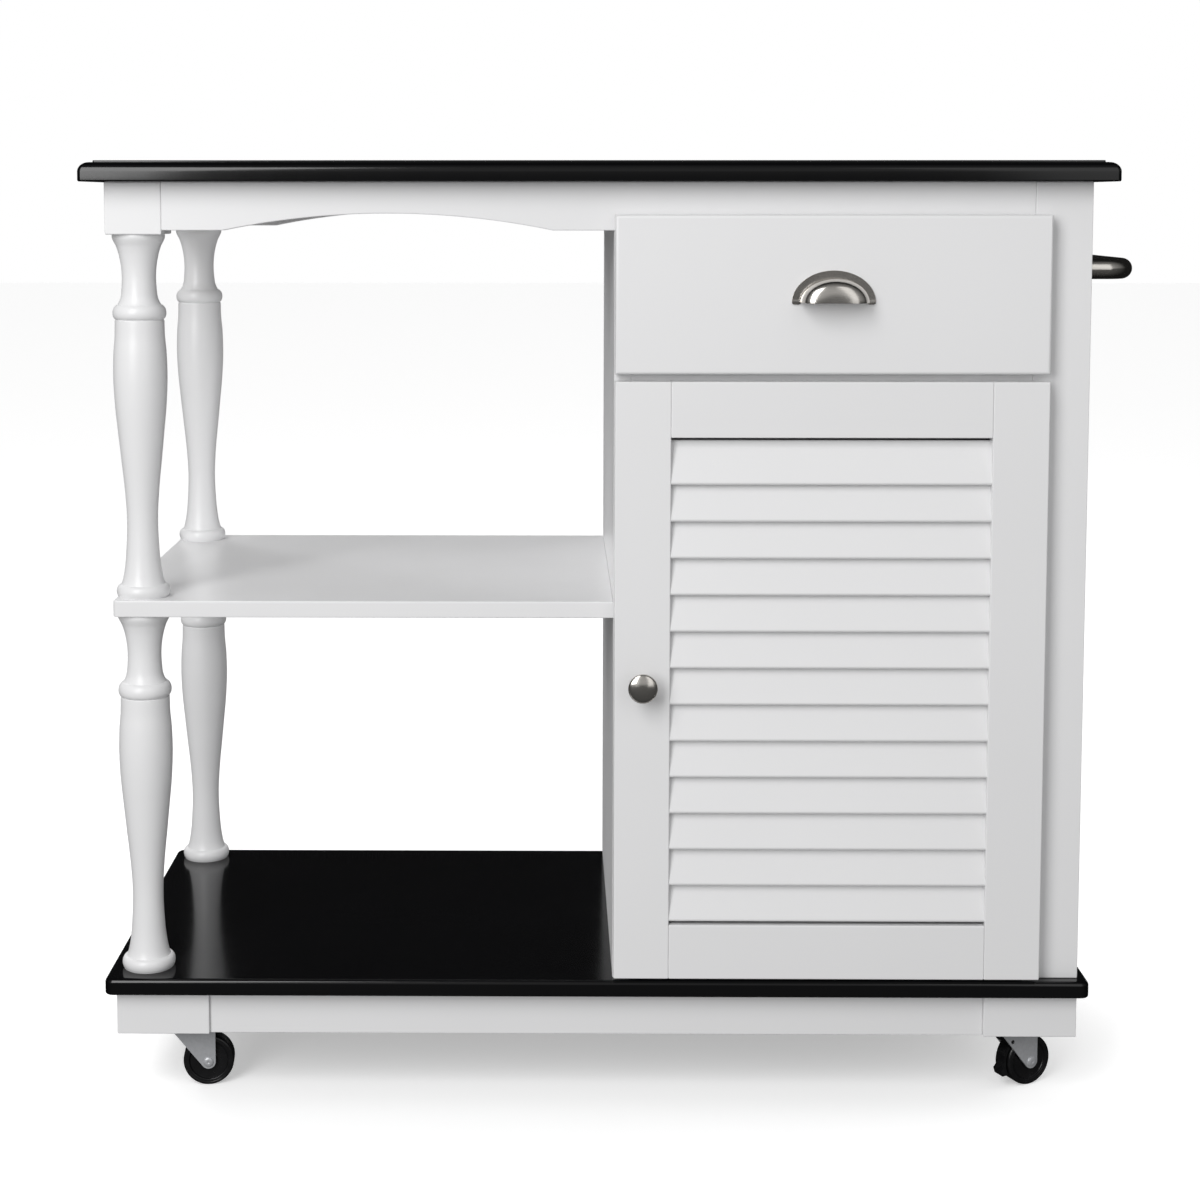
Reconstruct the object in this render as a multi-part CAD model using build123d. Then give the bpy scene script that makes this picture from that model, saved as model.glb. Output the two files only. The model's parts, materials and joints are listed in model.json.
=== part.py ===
from build123d import *
import math
import os

# Kitchen island cart. All sizes are millimetres.
# While a piece is being drawn, X = 0 is the middle of the carcass, Y = 0 is the carcass's
# front plane with +Y towards the back, and Z = 0 is the floor.
# The pieces are shifted to the middle of the whole object's footprint when they are written.

# ---------------------------------------------------------------- overall sizes
overall_height = 914.0
carcass_width = 934.0
carcass_depth = 400.0

# ---------------------------------------------------------------- boards
worktop_thickness = 20.0
worktop_overhang = 21.0
worktop_edge_round = 9.0
worktop_edge_step = 1.8
worktop_flat_inset = 12.5
worktop_corner_radius = 4.0
worktop_lower_round = 1.5
base_thickness = 16.0
base_top = 124.0
base_overhang_side = 10.0
base_overhang_front = 12.0
base_corner_radius = 9.0
base_edge_round = 4.5
shelf_thickness = 16.0
shelf_top = 493.0
shelf_side_inset = 2.0
shelf_corner_radius = 5.0
board_ease = 1.2
panel_thickness = 16.0
back_thickness = 5.0

# ---------------------------------------------------------------- top frame
block_size = 54.0
block_height = 50.0
apron_height = 46.0
apron_thickness = 18.0
arch_rise = 16.0
arch_end_gap = 58.0
cleat_size = 18.0
cleat_end_gap = 14.0

# ---------------------------------------------------------------- turned legs
rim_radius = 25.2
cove_radius = 16.0
cove_drop = 40.0
cove_middle_swell = 2.6
bead_radius = 25.6
bead_shoulder = 21.6
bead_drop = 71.0
bead_height = 11.0
bead_undercut = 1.5
belly_radius = 25.8
belly_top_radius = 23.0
belly_drop = 130.0
taper_share = 0.28
slim_share = 0.75
neck_radius = 14.8
neck_rise = 72.0
ankle_share = 0.4
ankle_swell = 2.2
foot_radius = 25.7
foot_bead_height = 12.5
foot_rim_radius = 24.0
foot_undercut = 1.0
stud_radius = 4.0
stud_length = 62.0
stud_clearance = 0.1

# ---------------------------------------------------------------- right-hand side
post_width = 54.0
post_thickness = 20.0
bar_radius = 10.2
bar_height = 810.0
bar_reach = 60.0
bar_bend_radius = 21.0
bar_end_inset = 65.0
bar_screw_radius = 2.5
bar_screw_depth = 22.0

# ---------------------------------------------------------------- cabinet fronts
cabinet_left = 16.0
front_gap = 2.0
front_thickness = 17.0
front_overlay = 12.5
front_side_reveal = 0.5
front_round = 3.5
door_bottom_reveal = 5.0
door_top = 706.0
drawer_front_bottom = 713.0
drawer_front_top = 863.0
middle_rail_height = 18.0

# ---------------------------------------------------------------- louvred door
door_member_width = 53.0
slat_count = 13
slat_width = 43.0
slat_thickness = 6.0
slat_round = 2.4
slat_tilt = 14.0
slat_end_gap = 2.5
slat_tongue = 5.0
slat_clearance = 0.15
knob_radius = 14.0
knob_projection = 25.0
knob_foot_radius = 7.7
knob_waist_radius = 5.6
knob_waist_height = 7.5
knob_neck_radius = 7.0
knob_neck_height = 13.0
knob_swell_radius = 11.2
knob_swell_drop = 3.0
knob_head_height = 6.0
knob_rim_height = 2.6
knob_rim_middle = 1.4
knob_rim_lean = 0.1
knob_rim_ease = 0.9
knob_screw_depth = 15.0
knob_screw_radius = 2.0
cup_radius = 17.5
cup_depth = 11.5
cup_wall = 1.2
cup_flange = 2.0
cup_edge_distance = 22.5
cup_end_distance = 80.0
cup_clearance = 0.05
hinge_arm_width = 12.0
hinge_arm_length = 13.0
hinge_plate_thickness = 2.0
hinge_plate_half_height = 24.0
catch_length = 46.0
catch_height = 12.0
catch_depth = 14.0
catch_side_gap = 20.0
catch_front_gap = 0.5
catch_ease = 1.0

# ---------------------------------------------------------------- drawer
runner_width = 12.7
runner_height = 30.0
runner_rear_gap = 37.0
runner_metal = 1.2
runner_play = 0.5
runner_setback = 8.0
spacer_height = 40.0
drawer_board = 12.0
drawer_box_height = 100.0
drawer_box_lift = 13.0
drawer_bottom_thickness = 5.0
drawer_bottom_rise = 8.0
groove_depth = 5.0
groove_clearance = 0.2
pull_half_width = 40.8
pull_height = 33.5
pull_flange = 8.3
pull_flange_thickness = 2.0
pull_depth = 25.0
pull_wall = 1.8
pull_boss_radius = 3.5
pull_boss_length = 16.0
pull_screw_depth = 7.0
pull_screw_spacing = 46.0
pull_screw_radius = 1.8
pull_drop = 9.0
pull_screw_rise = 6.5
quarter_ellipse_ease = 0.5523

# ---------------------------------------------------------------- inside the cabinet
cabinet_shelf_top = 418.0
cabinet_shelf_thickness = 15.0
cabinet_shelf_play = 1.0
cabinet_shelf_setback = 40.0
pin_radius = 2.5
pin_length = 16.0
pin_inset = 50.0
pin_clearance = 0.1
screw_head_radius = 4.5
screw_head_height = 2.2
screw_clearance = 0.1

# ---------------------------------------------------------------- skirt and casters
skirt_height = 43.0
corner_block_length = 90.0
corner_block_depth = 70.0
skirt_rail_thickness = 16.0
skirt_rail_recess = 4.0
wheel_radius = 25.0
wheel_width = 18.0
wheel_dish = 2.2
wheel_edge_round = 2.5
hub_radius = 8.0
rim_inner_radius = 19.5
axle_radius = 3.0
axle_head_radius = 5.0
axle_head_height = 2.0
running_clearance = 0.06
caster_trail = 23.0
caster_inset_x = 60.0
caster_inset_y = 39.0
caster_plate_length = 50.0
caster_plate_width = 44.0
caster_plate_thickness = 2.5
caster_plate_corner = 4.0
caster_hole_spacing_x = 38.0
caster_hole_spacing_y = 32.0
caster_screw_radius = 2.0
caster_screw_length = 16.0
caster_screw_head_radius = 3.6
caster_screw_head_height = 1.4
race_radius = 14.0
race_height = 2.8
king_pin_radius = 4.0
king_pin_head_radius = 7.0
crown_radius = 16.0
fork_metal = 2.2
fork_gap = 1.2
fork_toe_radius = 7.0
fork_toe_turn = 215.0
fork_lead = 13.0
pin_end_play = 0.3
brake_pivot_radius = 2.0
brake_pivot_height = 48.5
brake_pad_gap = 1.3
brake_thickness = 2.9
brake_boss_radius = 4.6
brake_shoe_half_width = 6.5
brake_tab = 3.6
brake_tab_root = 1.0
brake_play = 0.5

# Directions round the wheel's axle, in degrees, that bound the brake shoe and its tab.
brake_shoe_turns = (136, 171, 206)
brake_tab_turns = (186, 193, 203, 206)

# How far each caster has turned about its own swivel, as it stands.
caster_headings = {
    "front_left": 5.0,
    "front_right": 25.0,
    "rear_left": -12.0,
    "rear_right": 14.0,
}
braked_casters = ("front_right", "rear_right")

# ---------------------------------------------------------------- worked-out places
half_width = carcass_width / 2
worktop_underside = overall_height - worktop_thickness
block_bottom = worktop_underside - block_height
apron_bottom = worktop_underside - apron_height
base_bottom = base_top - base_thickness
skirt_bottom = base_bottom - skirt_height
shelf_bottom = shelf_top - shelf_thickness
leg_x = -half_width + block_size / 2
front_leg_y = block_size / 2
rear_leg_y = carcass_depth - block_size / 2
post_inner_x = half_width - post_width
side_panel_inner_x = half_width - panel_thickness
cabinet_inner_x = cabinet_left + panel_thickness
front_back_y = -front_gap
front_face_y = -front_gap - front_thickness
front_left_x = cabinet_left + front_side_reveal
front_right_x = post_inner_x + front_overlay
front_middle_x = (front_left_x + front_right_x) / 2
door_bottom = base_top + door_bottom_reveal
middle_rail_bottom = (door_top + drawer_front_bottom) / 2 - middle_rail_height / 2
middle_rail_top = middle_rail_bottom + middle_rail_height
louvre_bottom = door_bottom + door_member_width
louvre_top = door_top - door_member_width
louvre_left = front_left_x + door_member_width
louvre_right = front_right_x - door_member_width
door_middle_y = (front_back_y + front_face_y) / 2
knob_x = front_left_x + door_member_width / 2
knob_z = (door_bottom + door_top) / 2
cup_x = front_right_x - cup_edge_distance
cup_heights = (door_bottom + cup_end_distance, door_top - cup_end_distance)
runner_length = carcass_depth - back_thickness - runner_setback - runner_rear_gap
drawer_left = cabinet_inner_x + runner_width
drawer_right = post_inner_x - runner_width
drawer_box_bottom = middle_rail_top + drawer_box_lift
drawer_box_top = drawer_box_bottom + drawer_box_height
drawer_box_back = runner_setback + runner_length
runner_z = drawer_box_bottom + drawer_box_height / 2
drawer_floor = drawer_box_bottom + drawer_bottom_rise
pull_base_z = (drawer_front_bottom + drawer_front_top) / 2 - pull_drop
pull_screw_z = pull_base_z + pull_screw_rise
pull_screw_xs = (front_middle_x - pull_screw_spacing / 2, front_middle_x + pull_screw_spacing / 2)
cabinet_shelf_bottom = cabinet_shelf_top - cabinet_shelf_thickness
cabinet_shelf_back = carcass_depth - post_thickness - cabinet_shelf_play
axle_height = wheel_radius
crown_top = skirt_bottom - caster_plate_thickness - race_height - pin_end_play
crown_bottom = crown_top - fork_metal
cheek_inner = wheel_width / 2 + fork_gap
cheek_outer = cheek_inner + fork_metal
bar_ys = (bar_end_inset, carcass_depth - bar_end_inset)
caster_places = {
    "front_left": (-half_width + caster_inset_x, caster_inset_y),
    "front_right": (half_width - caster_inset_x, caster_inset_y),
    "rear_left": (-half_width + caster_inset_x, carcass_depth - caster_inset_y),
    "rear_right": (half_width - caster_inset_x, carcass_depth - caster_inset_y),
}

stud_foot_z = base_top - base_thickness / 2 - stud_length / 2

# The whole object's footprint, whose middle becomes the origin.
lowest_x = -half_width - max(worktop_overhang, base_overhang_side)
highest_x = half_width + max(worktop_overhang, base_overhang_side, bar_reach)
lowest_y = min(front_face_y - max(knob_projection, pull_depth), -worktop_overhang, -base_overhang_front)
highest_y = carcass_depth + worktop_overhang
origin_x = (lowest_x + highest_x) / 2
origin_y = (lowest_y + highest_y) / 2


# ---------------------------------------------------------------- helpers
def block(low_x, high_x, low_y, high_y, low_z, high_z):
    """Rectangular solid between two opposite corners."""
    size = (high_x - low_x, high_y - low_y, high_z - low_z)
    return Pos(low_x, low_y, low_z) * Box(*size, align=(Align.MIN, Align.MIN, Align.MIN))


def rod(radius, start, end):
    """Round bar from one point to another."""
    span = Vector(*end) - Vector(*start)
    bottom = (Align.CENTER, Align.CENTER, Align.MIN)
    return Plane(origin=start, z_dir=span) * Cylinder(radius, span.length, align=bottom)


def eased(solid, radius=board_ease):
    """The solid with every edge slightly rounded."""
    return fillet(solid.edges(), radius)


def group(solids):
    """Separate solids kept together in one piece file."""
    return Compound(list(solids))


# ---------------------------------------------------------------- worktop and top frame
def make_worktop():
    """Black worktop with a stepped, rounded edge all round."""
    overhang = worktop_overhang
    low_z = worktop_underside
    step_z = overall_height - worktop_edge_step
    slab = block(-half_width - overhang, half_width + overhang, -overhang,
                 carcass_depth + overhang, low_z, step_z)
    slab = fillet(slab.edges().filter_by(Axis.Z), worktop_corner_radius)
    slab = fillet(slab.faces().sort_by(Axis.Z)[-1].edges(), worktop_edge_round)
    slab = fillet(slab.faces().sort_by(Axis.Z)[0].edges(), worktop_lower_round)
    inset = worktop_flat_inset - overhang
    top = block(-half_width + inset, half_width - inset, inset, carcass_depth - inset,
                step_z, overall_height)
    return slab + fillet(top.edges().filter_by(Axis.Z), worktop_edge_step)


def arched_apron(low_y):
    """Long apron with a shallow arch over the open shelves."""
    board = block(-half_width + block_size, post_inner_x, low_y, low_y + apron_thickness,
                  apron_bottom, worktop_underside)
    arch_left = -half_width + block_size + arch_end_gap
    arch_right = cabinet_left - arch_end_gap
    start = (arch_left, low_y, apron_bottom)
    top = ((arch_left + arch_right) / 2, low_y, apron_bottom + arch_rise)
    end = (arch_right, low_y, apron_bottom)
    outline = ThreePointArc(start, top, end) + Line(end, start)
    return board - extrude(make_face(outline), amount=apron_thickness, dir=(0, 1, 0))


def make_left_apron():
    """Short apron between the two leg blocks at the left-hand end."""
    return block(-half_width, -half_width + apron_thickness, block_size,
                 carcass_depth - block_size, apron_bottom, worktop_underside)


def make_worktop_cleats():
    """Two battens that the worktop is screwed down to, one at each end."""
    low_z = worktop_underside - cleat_size
    left_x = -half_width + apron_thickness
    left = block(left_x, left_x + cleat_size, block_size + cleat_end_gap,
                 carcass_depth - block_size - cleat_end_gap, low_z, worktop_underside)
    right = block(side_panel_inner_x - cleat_size, side_panel_inner_x,
                  post_thickness + cleat_end_gap, carcass_depth - post_thickness - cleat_end_gap,
                  low_z, worktop_underside)
    return group([left, right])


# ---------------------------------------------------------------- turned legs
def turned_outline(top, bottom):
    """Half outline of one turning, from its top rim down to its foot bead."""
    bead_top = top - bead_drop
    bead_bottom = bead_top - bead_height
    foot_top = bottom + foot_bead_height
    neck_z = bottom + neck_rise
    belly_z = top - belly_drop
    taper_z = (belly_z * 2 + neck_z) / 3
    taper_radius = belly_radius - (belly_radius - neck_radius) * taper_share
    slim_z = (belly_z + neck_z * 2) / 3
    slim_radius = belly_radius - (belly_radius - neck_radius) * slim_share
    bead_start = bead_shoulder - bead_undercut
    foot_start = bead_shoulder - foot_undercut
    cove = Spline((rim_radius, 0, top), (cove_radius + cove_middle_swell, 0, top - cove_drop / 2),
                  (cove_radius, 0, top - cove_drop), (bead_start, 0, bead_top))
    bead = ThreePointArc((bead_start, 0, bead_top),
                         (bead_radius, 0, (bead_top + bead_bottom) / 2),
                         (belly_top_radius, 0, bead_bottom))
    belly = Spline((belly_top_radius, 0, bead_bottom), (belly_radius, 0, belly_z),
                   (taper_radius, 0, taper_z), (slim_radius, 0, slim_z),
                   (neck_radius, 0, neck_z),
                   (neck_radius + ankle_swell, 0, bottom + neck_rise * ankle_share),
                   (foot_start, 0, foot_top))
    foot = ThreePointArc((foot_start, 0, foot_top),
                         (foot_radius, 0, bottom + foot_bead_height / 2),
                         (foot_rim_radius, 0, bottom))
    closing = Polyline((foot_rim_radius, 0, bottom), (0, 0, bottom), (0, 0, top),
                       (rim_radius, 0, top))
    return make_face(cove + bead + belly + foot + closing)


def turning(y, top, bottom):
    """One turned length standing at the left-hand end, drilled for its studs."""
    body = Pos(leg_x, y, 0) * revolve(turned_outline(top, bottom), Axis.Z)
    hole = stud_radius + stud_clearance
    for board_middle in (base_top - base_thickness / 2, shelf_top - shelf_thickness / 2):
        low = board_middle - stud_length / 2 - stud_clearance
        high = board_middle + stud_length / 2 + stud_clearance
        body = body - rod(hole, (leg_x, y, low), (leg_x, y, high))
    return body


def upper_leg(y):
    """Upper leg: a square block under the worktop and the turning below it."""
    low_y = y - block_size / 2
    head = eased(block(-half_width, -half_width + block_size, low_y, low_y + block_size,
                       block_bottom, worktop_underside))
    return head + turning(y, block_bottom, shelf_top)


def lower_leg(y):
    """Lower leg: the same turning between the shelf and the base board."""
    return turning(y, shelf_bottom, base_top)


def make_leg_studs():
    """Double-ended studs that join each leg through the shelf and the base board."""
    middles = (base_top - base_thickness / 2, shelf_top - shelf_thickness / 2)
    studs = []
    for y in (front_leg_y, rear_leg_y):
        for middle in middles:
            low = (leg_x, y, middle - stud_length / 2)
            high = (leg_x, y, middle + stud_length / 2)
            studs.append(rod(stud_radius, low, high))
    return group(studs)


def stud_holes(low_z, high_z):
    """Drills for the leg studs, one at each leg."""
    radius = stud_radius + stud_clearance
    return [rod(radius, (leg_x, y, low_z), (leg_x, y, high_z)) for y in (front_leg_y, rear_leg_y)]


# ---------------------------------------------------------------- boards
def make_middle_shelf():
    """Open shelf between the legs and the cabinet."""
    shelf = block(-half_width + shelf_side_inset, cabinet_left, 0, carcass_depth,
                  shelf_bottom, shelf_top)
    left_edges = shelf.edges().filter_by(Axis.Z).sort_by(Axis.X)[:2]
    shelf = fillet(left_edges, shelf_corner_radius)
    shelf = fillet(shelf.faces().sort_by(Axis.Z)[-1].edges(), board_ease)
    for hole in stud_holes(shelf_bottom, shelf_top):
        shelf = shelf - hole
    return shelf


def make_base_board():
    """Black base board that the legs and the cabinet stand on."""
    base = block(-half_width - base_overhang_side, half_width + base_overhang_side,
                 -base_overhang_front, carcass_depth, base_bottom, base_top)
    base = fillet(base.edges().filter_by(Axis.Z), base_corner_radius)
    base = fillet(base.faces().sort_by(Axis.Z)[-1].edges(), base_edge_round)
    base = fillet(base.faces().sort_by(Axis.Z)[0].edges(), worktop_lower_round)
    for hole in stud_holes(base_bottom, base_top):
        base = base - hole
    return base


# ---------------------------------------------------------------- cabinet carcass
def make_left_cabinet_panel():
    """Upright panel between the open shelves and the cabinet, notched for both aprons."""
    panel = block(cabinet_left, cabinet_inner_x, 0, carcass_depth - back_thickness,
                  base_top, worktop_underside)
    for low_y in (0, carcass_depth - apron_thickness):
        panel = panel - block(cabinet_left, cabinet_inner_x, low_y, low_y + apron_thickness,
                              apron_bottom, worktop_underside)
    for hole in pin_holes(cabinet_inner_x, -1):
        panel = panel - hole
    return panel


def post(low_y):
    """Flat upright at the right-hand end, flush with the side."""
    return eased(block(post_inner_x, half_width, low_y, low_y + post_thickness,
                       base_top, worktop_underside))


def make_right_side_panel():
    """Side panel between the two right-hand posts, which carries the towel bar."""
    panel = block(side_panel_inner_x, half_width, post_thickness,
                  carcass_depth - post_thickness, base_top, worktop_underside)
    for y in bar_ys:
        hole = rod(bar_screw_radius + screw_clearance, (side_panel_inner_x, y, bar_height),
                   (half_width, y, bar_height))
        panel = panel - hole
    for hole in pin_holes(side_panel_inner_x, 1):
        panel = panel - hole
    return panel


def make_back_panel():
    """Thin back of the cabinet, below the rear apron."""
    return block(cabinet_left, post_inner_x, carcass_depth - back_thickness, carcass_depth,
                 base_top, apron_bottom)


def make_middle_rail():
    """Rail between the drawer and the door."""
    return block(cabinet_inner_x, post_inner_x, 0, apron_thickness, middle_rail_bottom,
                 middle_rail_top)


def make_cabinet_shelf():
    """Loose shelf inside the cabinet."""
    return block(cabinet_inner_x + cabinet_shelf_play, side_panel_inner_x - cabinet_shelf_play,
                 cabinet_shelf_setback, cabinet_shelf_back, cabinet_shelf_bottom,
                 cabinet_shelf_top)


def pin_ys():
    """Places of the shelf pins from front to back."""
    return (cabinet_shelf_setback + pin_inset, cabinet_shelf_back - pin_inset)


def pin_holes(face_x, direction):
    """Holes for the shelf pins, drilled half a pin deep into one panel face."""
    deep_x = face_x + direction * (pin_length / 2 + pin_clearance)
    z = cabinet_shelf_bottom - pin_radius
    radius = pin_radius + pin_clearance
    return [rod(radius, (face_x, y, z), (deep_x, y, z)) for y in pin_ys()]


def make_shelf_pins():
    """Four pins under the loose shelf."""
    pins = []
    z = cabinet_shelf_bottom - pin_radius
    for face_x in (cabinet_inner_x, side_panel_inner_x):
        for y in pin_ys():
            start = (face_x - pin_length / 2, y, z)
            end = (face_x + pin_length / 2, y, z)
            pins.append(rod(pin_radius, start, end))
    return group(pins)


def make_runner_spacer():
    """Packing behind the front post, which brings the right-hand runner out to the opening."""
    return block(post_inner_x, side_panel_inner_x, post_thickness,
                 carcass_depth - post_thickness, runner_z - spacer_height / 2,
                 runner_z + spacer_height / 2)


# ---------------------------------------------------------------- drawer
def channel(web_x, open_x, height):
    """Runner channel with its web at one side and its flanges towards the other."""
    low_x, high_x = sorted((web_x, open_x))
    low_y = runner_setback
    high_y = runner_setback + runner_length
    body = block(low_x, high_x, low_y, high_y, runner_z - height / 2, runner_z + height / 2)
    inside = height / 2 - runner_metal
    hollow_low = low_x + runner_metal if web_x == low_x else low_x
    hollow_high = high_x - runner_metal if web_x == high_x else high_x
    return body - block(hollow_low, hollow_high, low_y, high_y, runner_z - inside, runner_z + inside)


def make_cabinet_runners():
    """The two outer runner channels, fixed in the cabinet."""
    reach = runner_width - runner_metal - runner_play
    left = channel(cabinet_inner_x, cabinet_inner_x + reach, runner_height)
    right = channel(post_inner_x, post_inner_x - reach, runner_height)
    return group([left, right])


def make_drawer_runners():
    """The two inner runner channels, fixed to the drawer and nested in the outer ones."""
    reach = runner_width - runner_metal - runner_play
    height = runner_height - 2 * (runner_metal + runner_play)
    left = channel(drawer_left, drawer_left - reach, height)
    right = channel(drawer_right, drawer_right + reach, height)
    return group([left, right])


def drawer_side(low_x, inner_direction):
    """One side of the drawer box, grooved for the drawer bottom."""
    high_x = low_x + drawer_board
    board = block(low_x, high_x, front_back_y, drawer_box_back, drawer_box_bottom, drawer_box_top)
    groove_low = high_x - groove_depth if inner_direction > 0 else low_x
    groove_high = high_x if inner_direction > 0 else low_x + groove_depth
    return board - block(groove_low, groove_high, front_back_y, drawer_box_back,
                         drawer_floor - groove_clearance,
                         drawer_floor + drawer_bottom_thickness + groove_clearance)


def make_drawer_back():
    """Back of the drawer box, standing on the drawer bottom."""
    return block(drawer_left + drawer_board, drawer_right - drawer_board,
                 drawer_box_back - drawer_board, drawer_box_back,
                 drawer_floor + drawer_bottom_thickness, drawer_box_top)


def make_drawer_bottom():
    """Thin drawer bottom, held in grooves at the sides and the front."""
    reach = groove_depth - groove_clearance
    return block(drawer_left + drawer_board - reach, drawer_right - drawer_board + reach,
                 front_back_y - reach, drawer_box_back, drawer_floor,
                 drawer_floor + drawer_bottom_thickness)


def make_drawer_front():
    """Plain drawer front with rounded front edges."""
    front = block(front_left_x, front_right_x, front_face_y, front_back_y,
                  drawer_front_bottom, drawer_front_top)
    front = fillet(front.faces().sort_by(Axis.Y)[0].edges(), front_round)
    inner_left = drawer_left + drawer_board - groove_depth
    inner_right = drawer_right - drawer_board + groove_depth
    front = front - block(inner_left, inner_right, front_back_y - groove_depth, front_back_y,
                          drawer_floor - groove_clearance,
                          drawer_floor + drawer_bottom_thickness + groove_clearance)
    for x in pull_screw_xs:
        hole = rod(pull_screw_radius + screw_clearance, (x, front_back_y, pull_screw_z),
                   (x, front_face_y, pull_screw_z))
        front = front - hole
    return front


def pull_bowl(half_width_x, depth):
    """Quarter of a spheroid: the bowl of the cup pull, solid."""
    ease_x = half_width_x * quarter_ellipse_ease
    ease_y = depth * quarter_ellipse_ease
    left = Bezier((-half_width_x, 0), (-half_width_x, ease_y), (-ease_x, depth), (0, depth))
    right = Bezier((0, depth), (ease_x, depth), (half_width_x, ease_y), (half_width_x, 0))
    base = Line((half_width_x, 0), (-half_width_x, 0))
    whole = revolve(make_face([left, right, base]), Axis.X)
    keep = block(-half_width_x, half_width_x, -depth, 0, 0, depth)
    return Pos(front_middle_x, front_face_y, pull_base_z) * (whole & keep)


def make_cup_pull():
    """Cup pull: a flat arched flange, a hollow bowl open below and two screw posts."""
    place = Plane(origin=(front_middle_x, front_face_y, pull_base_z), x_dir=(1, 0, 0),
                  z_dir=(0, -1, 0))
    outer = Ellipse(pull_half_width, pull_height)
    lower_half = Pos(0, -pull_height) * Rectangle(2 * pull_half_width, 2 * pull_height)
    flange = extrude(place * (outer - lower_half), amount=pull_flange_thickness)
    bowl_half_width = pull_half_width - pull_flange
    bowl = pull_bowl(bowl_half_width, pull_depth)
    hollow = pull_bowl(bowl_half_width - pull_wall, pull_depth - pull_wall)
    pull = flange + bowl - hollow
    for x in pull_screw_xs:
        start = (x, front_face_y, pull_screw_z)
        end = (x, front_face_y - pull_boss_length, pull_screw_z)
        pull = pull + (rod(pull_boss_radius, start, end) & bowl)
        deep = (x, front_face_y - pull_screw_depth, pull_screw_z)
        pull = pull - rod(pull_screw_radius + screw_clearance, start, deep)
    return pull


def make_cup_pull_screws():
    """Two screws from inside the drawer into the posts of the pull."""
    screws = []
    for x in pull_screw_xs:
        tip_y = front_face_y - pull_screw_depth + screw_clearance
        shank = rod(pull_screw_radius, (x, front_back_y, pull_screw_z), (x, tip_y, pull_screw_z))
        head = rod(screw_head_radius, (x, front_back_y, pull_screw_z),
                   (x, front_back_y + screw_head_height, pull_screw_z))
        screws.append(shank + head)
    return group(screws)


# ---------------------------------------------------------------- louvred door
def slat_section(extra=0.0):
    """End section of one slat, centred, seen along X with its width upright."""
    outline = RectangleRounded(slat_thickness + 2 * extra, slat_width + 2 * extra, slat_round)
    return Plane.YZ * (Rot(0, 0, -slat_tilt) * outline)


def slat_heights():
    """Middle height of each slat, evenly spaced between the two rails."""
    tilt = math.radians(slat_tilt)
    rise = slat_width * math.cos(tilt) + slat_thickness * math.sin(tilt)
    first = louvre_bottom + slat_end_gap + rise / 2
    last = louvre_top - slat_end_gap - rise / 2
    pitch = (last - first) / (slat_count - 1)
    return [first + pitch * number for number in range(slat_count)]


def slat(z, low_x, high_x, extra=0.0):
    """One slat between two places along X."""
    return Pos(low_x, door_middle_y, z) * extrude(slat_section(extra), amount=high_x - low_x)


def make_louvre_slats():
    """The slats of the door, each let into both stiles."""
    low_x = louvre_left - slat_tongue + slat_clearance
    high_x = louvre_right + slat_tongue - slat_clearance
    return group([slat(z, low_x, high_x) for z in slat_heights()])


def door_stile(low_x, slot_low_x, slot_high_x):
    """Upright member of the door, slotted for the ends of the slats."""
    stile = block(low_x, low_x + door_member_width, front_face_y, front_back_y,
                  door_bottom, door_top)
    face_edges = stile.faces().sort_by(Axis.Y)[0].edges()
    stile = fillet(face_edges, board_ease)
    for z in slat_heights():
        stile = stile - slat(z, slot_low_x, slot_high_x, slat_clearance)
    return stile


def make_door_left_stile():
    """Left stile, drilled for the knob's screw."""
    stile = door_stile(front_left_x, louvre_left - slat_tongue, louvre_left)
    hole = rod(knob_screw_radius + screw_clearance, (knob_x, front_back_y, knob_z),
               (knob_x, front_face_y, knob_z))
    return stile - hole


def make_door_right_stile():
    """Right stile, bored for the two hinge cups."""
    stile = door_stile(louvre_right, louvre_right, louvre_right + slat_tongue)
    for z in cup_heights:
        stile = stile - rod(cup_radius + cup_clearance, (cup_x, front_back_y, z),
                            (cup_x, front_back_y - cup_depth - cup_clearance, z))
    return stile


def door_rail(low_z):
    """Cross member of the door between its two stiles."""
    rail = block(louvre_left, louvre_right, front_face_y, front_back_y, low_z,
                 low_z + door_member_width)
    long_edges = rail.faces().sort_by(Axis.Y)[0].edges().filter_by(Axis.X)
    return fillet(long_edges, board_ease)


def make_door_knob():
    """Round knob with a waisted neck and a slightly domed face."""
    reach = knob_projection
    rim = reach - knob_head_height
    face_edge = knob_radius - knob_rim_ease
    face_rise = knob_head_height - knob_rim_height
    face_radius = (face_edge ** 2 + face_rise ** 2) / (2 * face_rise)
    face_turn = math.degrees(math.asin(face_edge / face_radius))
    neck = (knob_neck_radius, knob_neck_height)
    side = [
        Line((0, 0), (knob_foot_radius, 0)),
        ThreePointArc((knob_foot_radius, 0), (knob_waist_radius, knob_waist_height), neck),
        ThreePointArc(neck, (knob_swell_radius, rim - knob_swell_drop), (knob_radius, rim)),
        ThreePointArc((knob_radius, rim), (knob_radius - knob_rim_lean, rim + knob_rim_middle),
                      (face_edge, reach - face_rise)),
        CenterArc((0, reach - face_radius), face_radius, 90 - face_turn, face_turn),
        Line((0, reach), (0, 0)),
    ]
    profile = Plane.XZ * make_face(side)
    upright = revolve(profile, Axis.Z)
    knob = Pos(knob_x, front_face_y, knob_z) * Rot(90, 0, 0) * upright
    return knob - rod(knob_screw_radius + screw_clearance, (knob_x, front_face_y, knob_z),
                      (knob_x, front_face_y - knob_screw_depth, knob_z))


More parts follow.
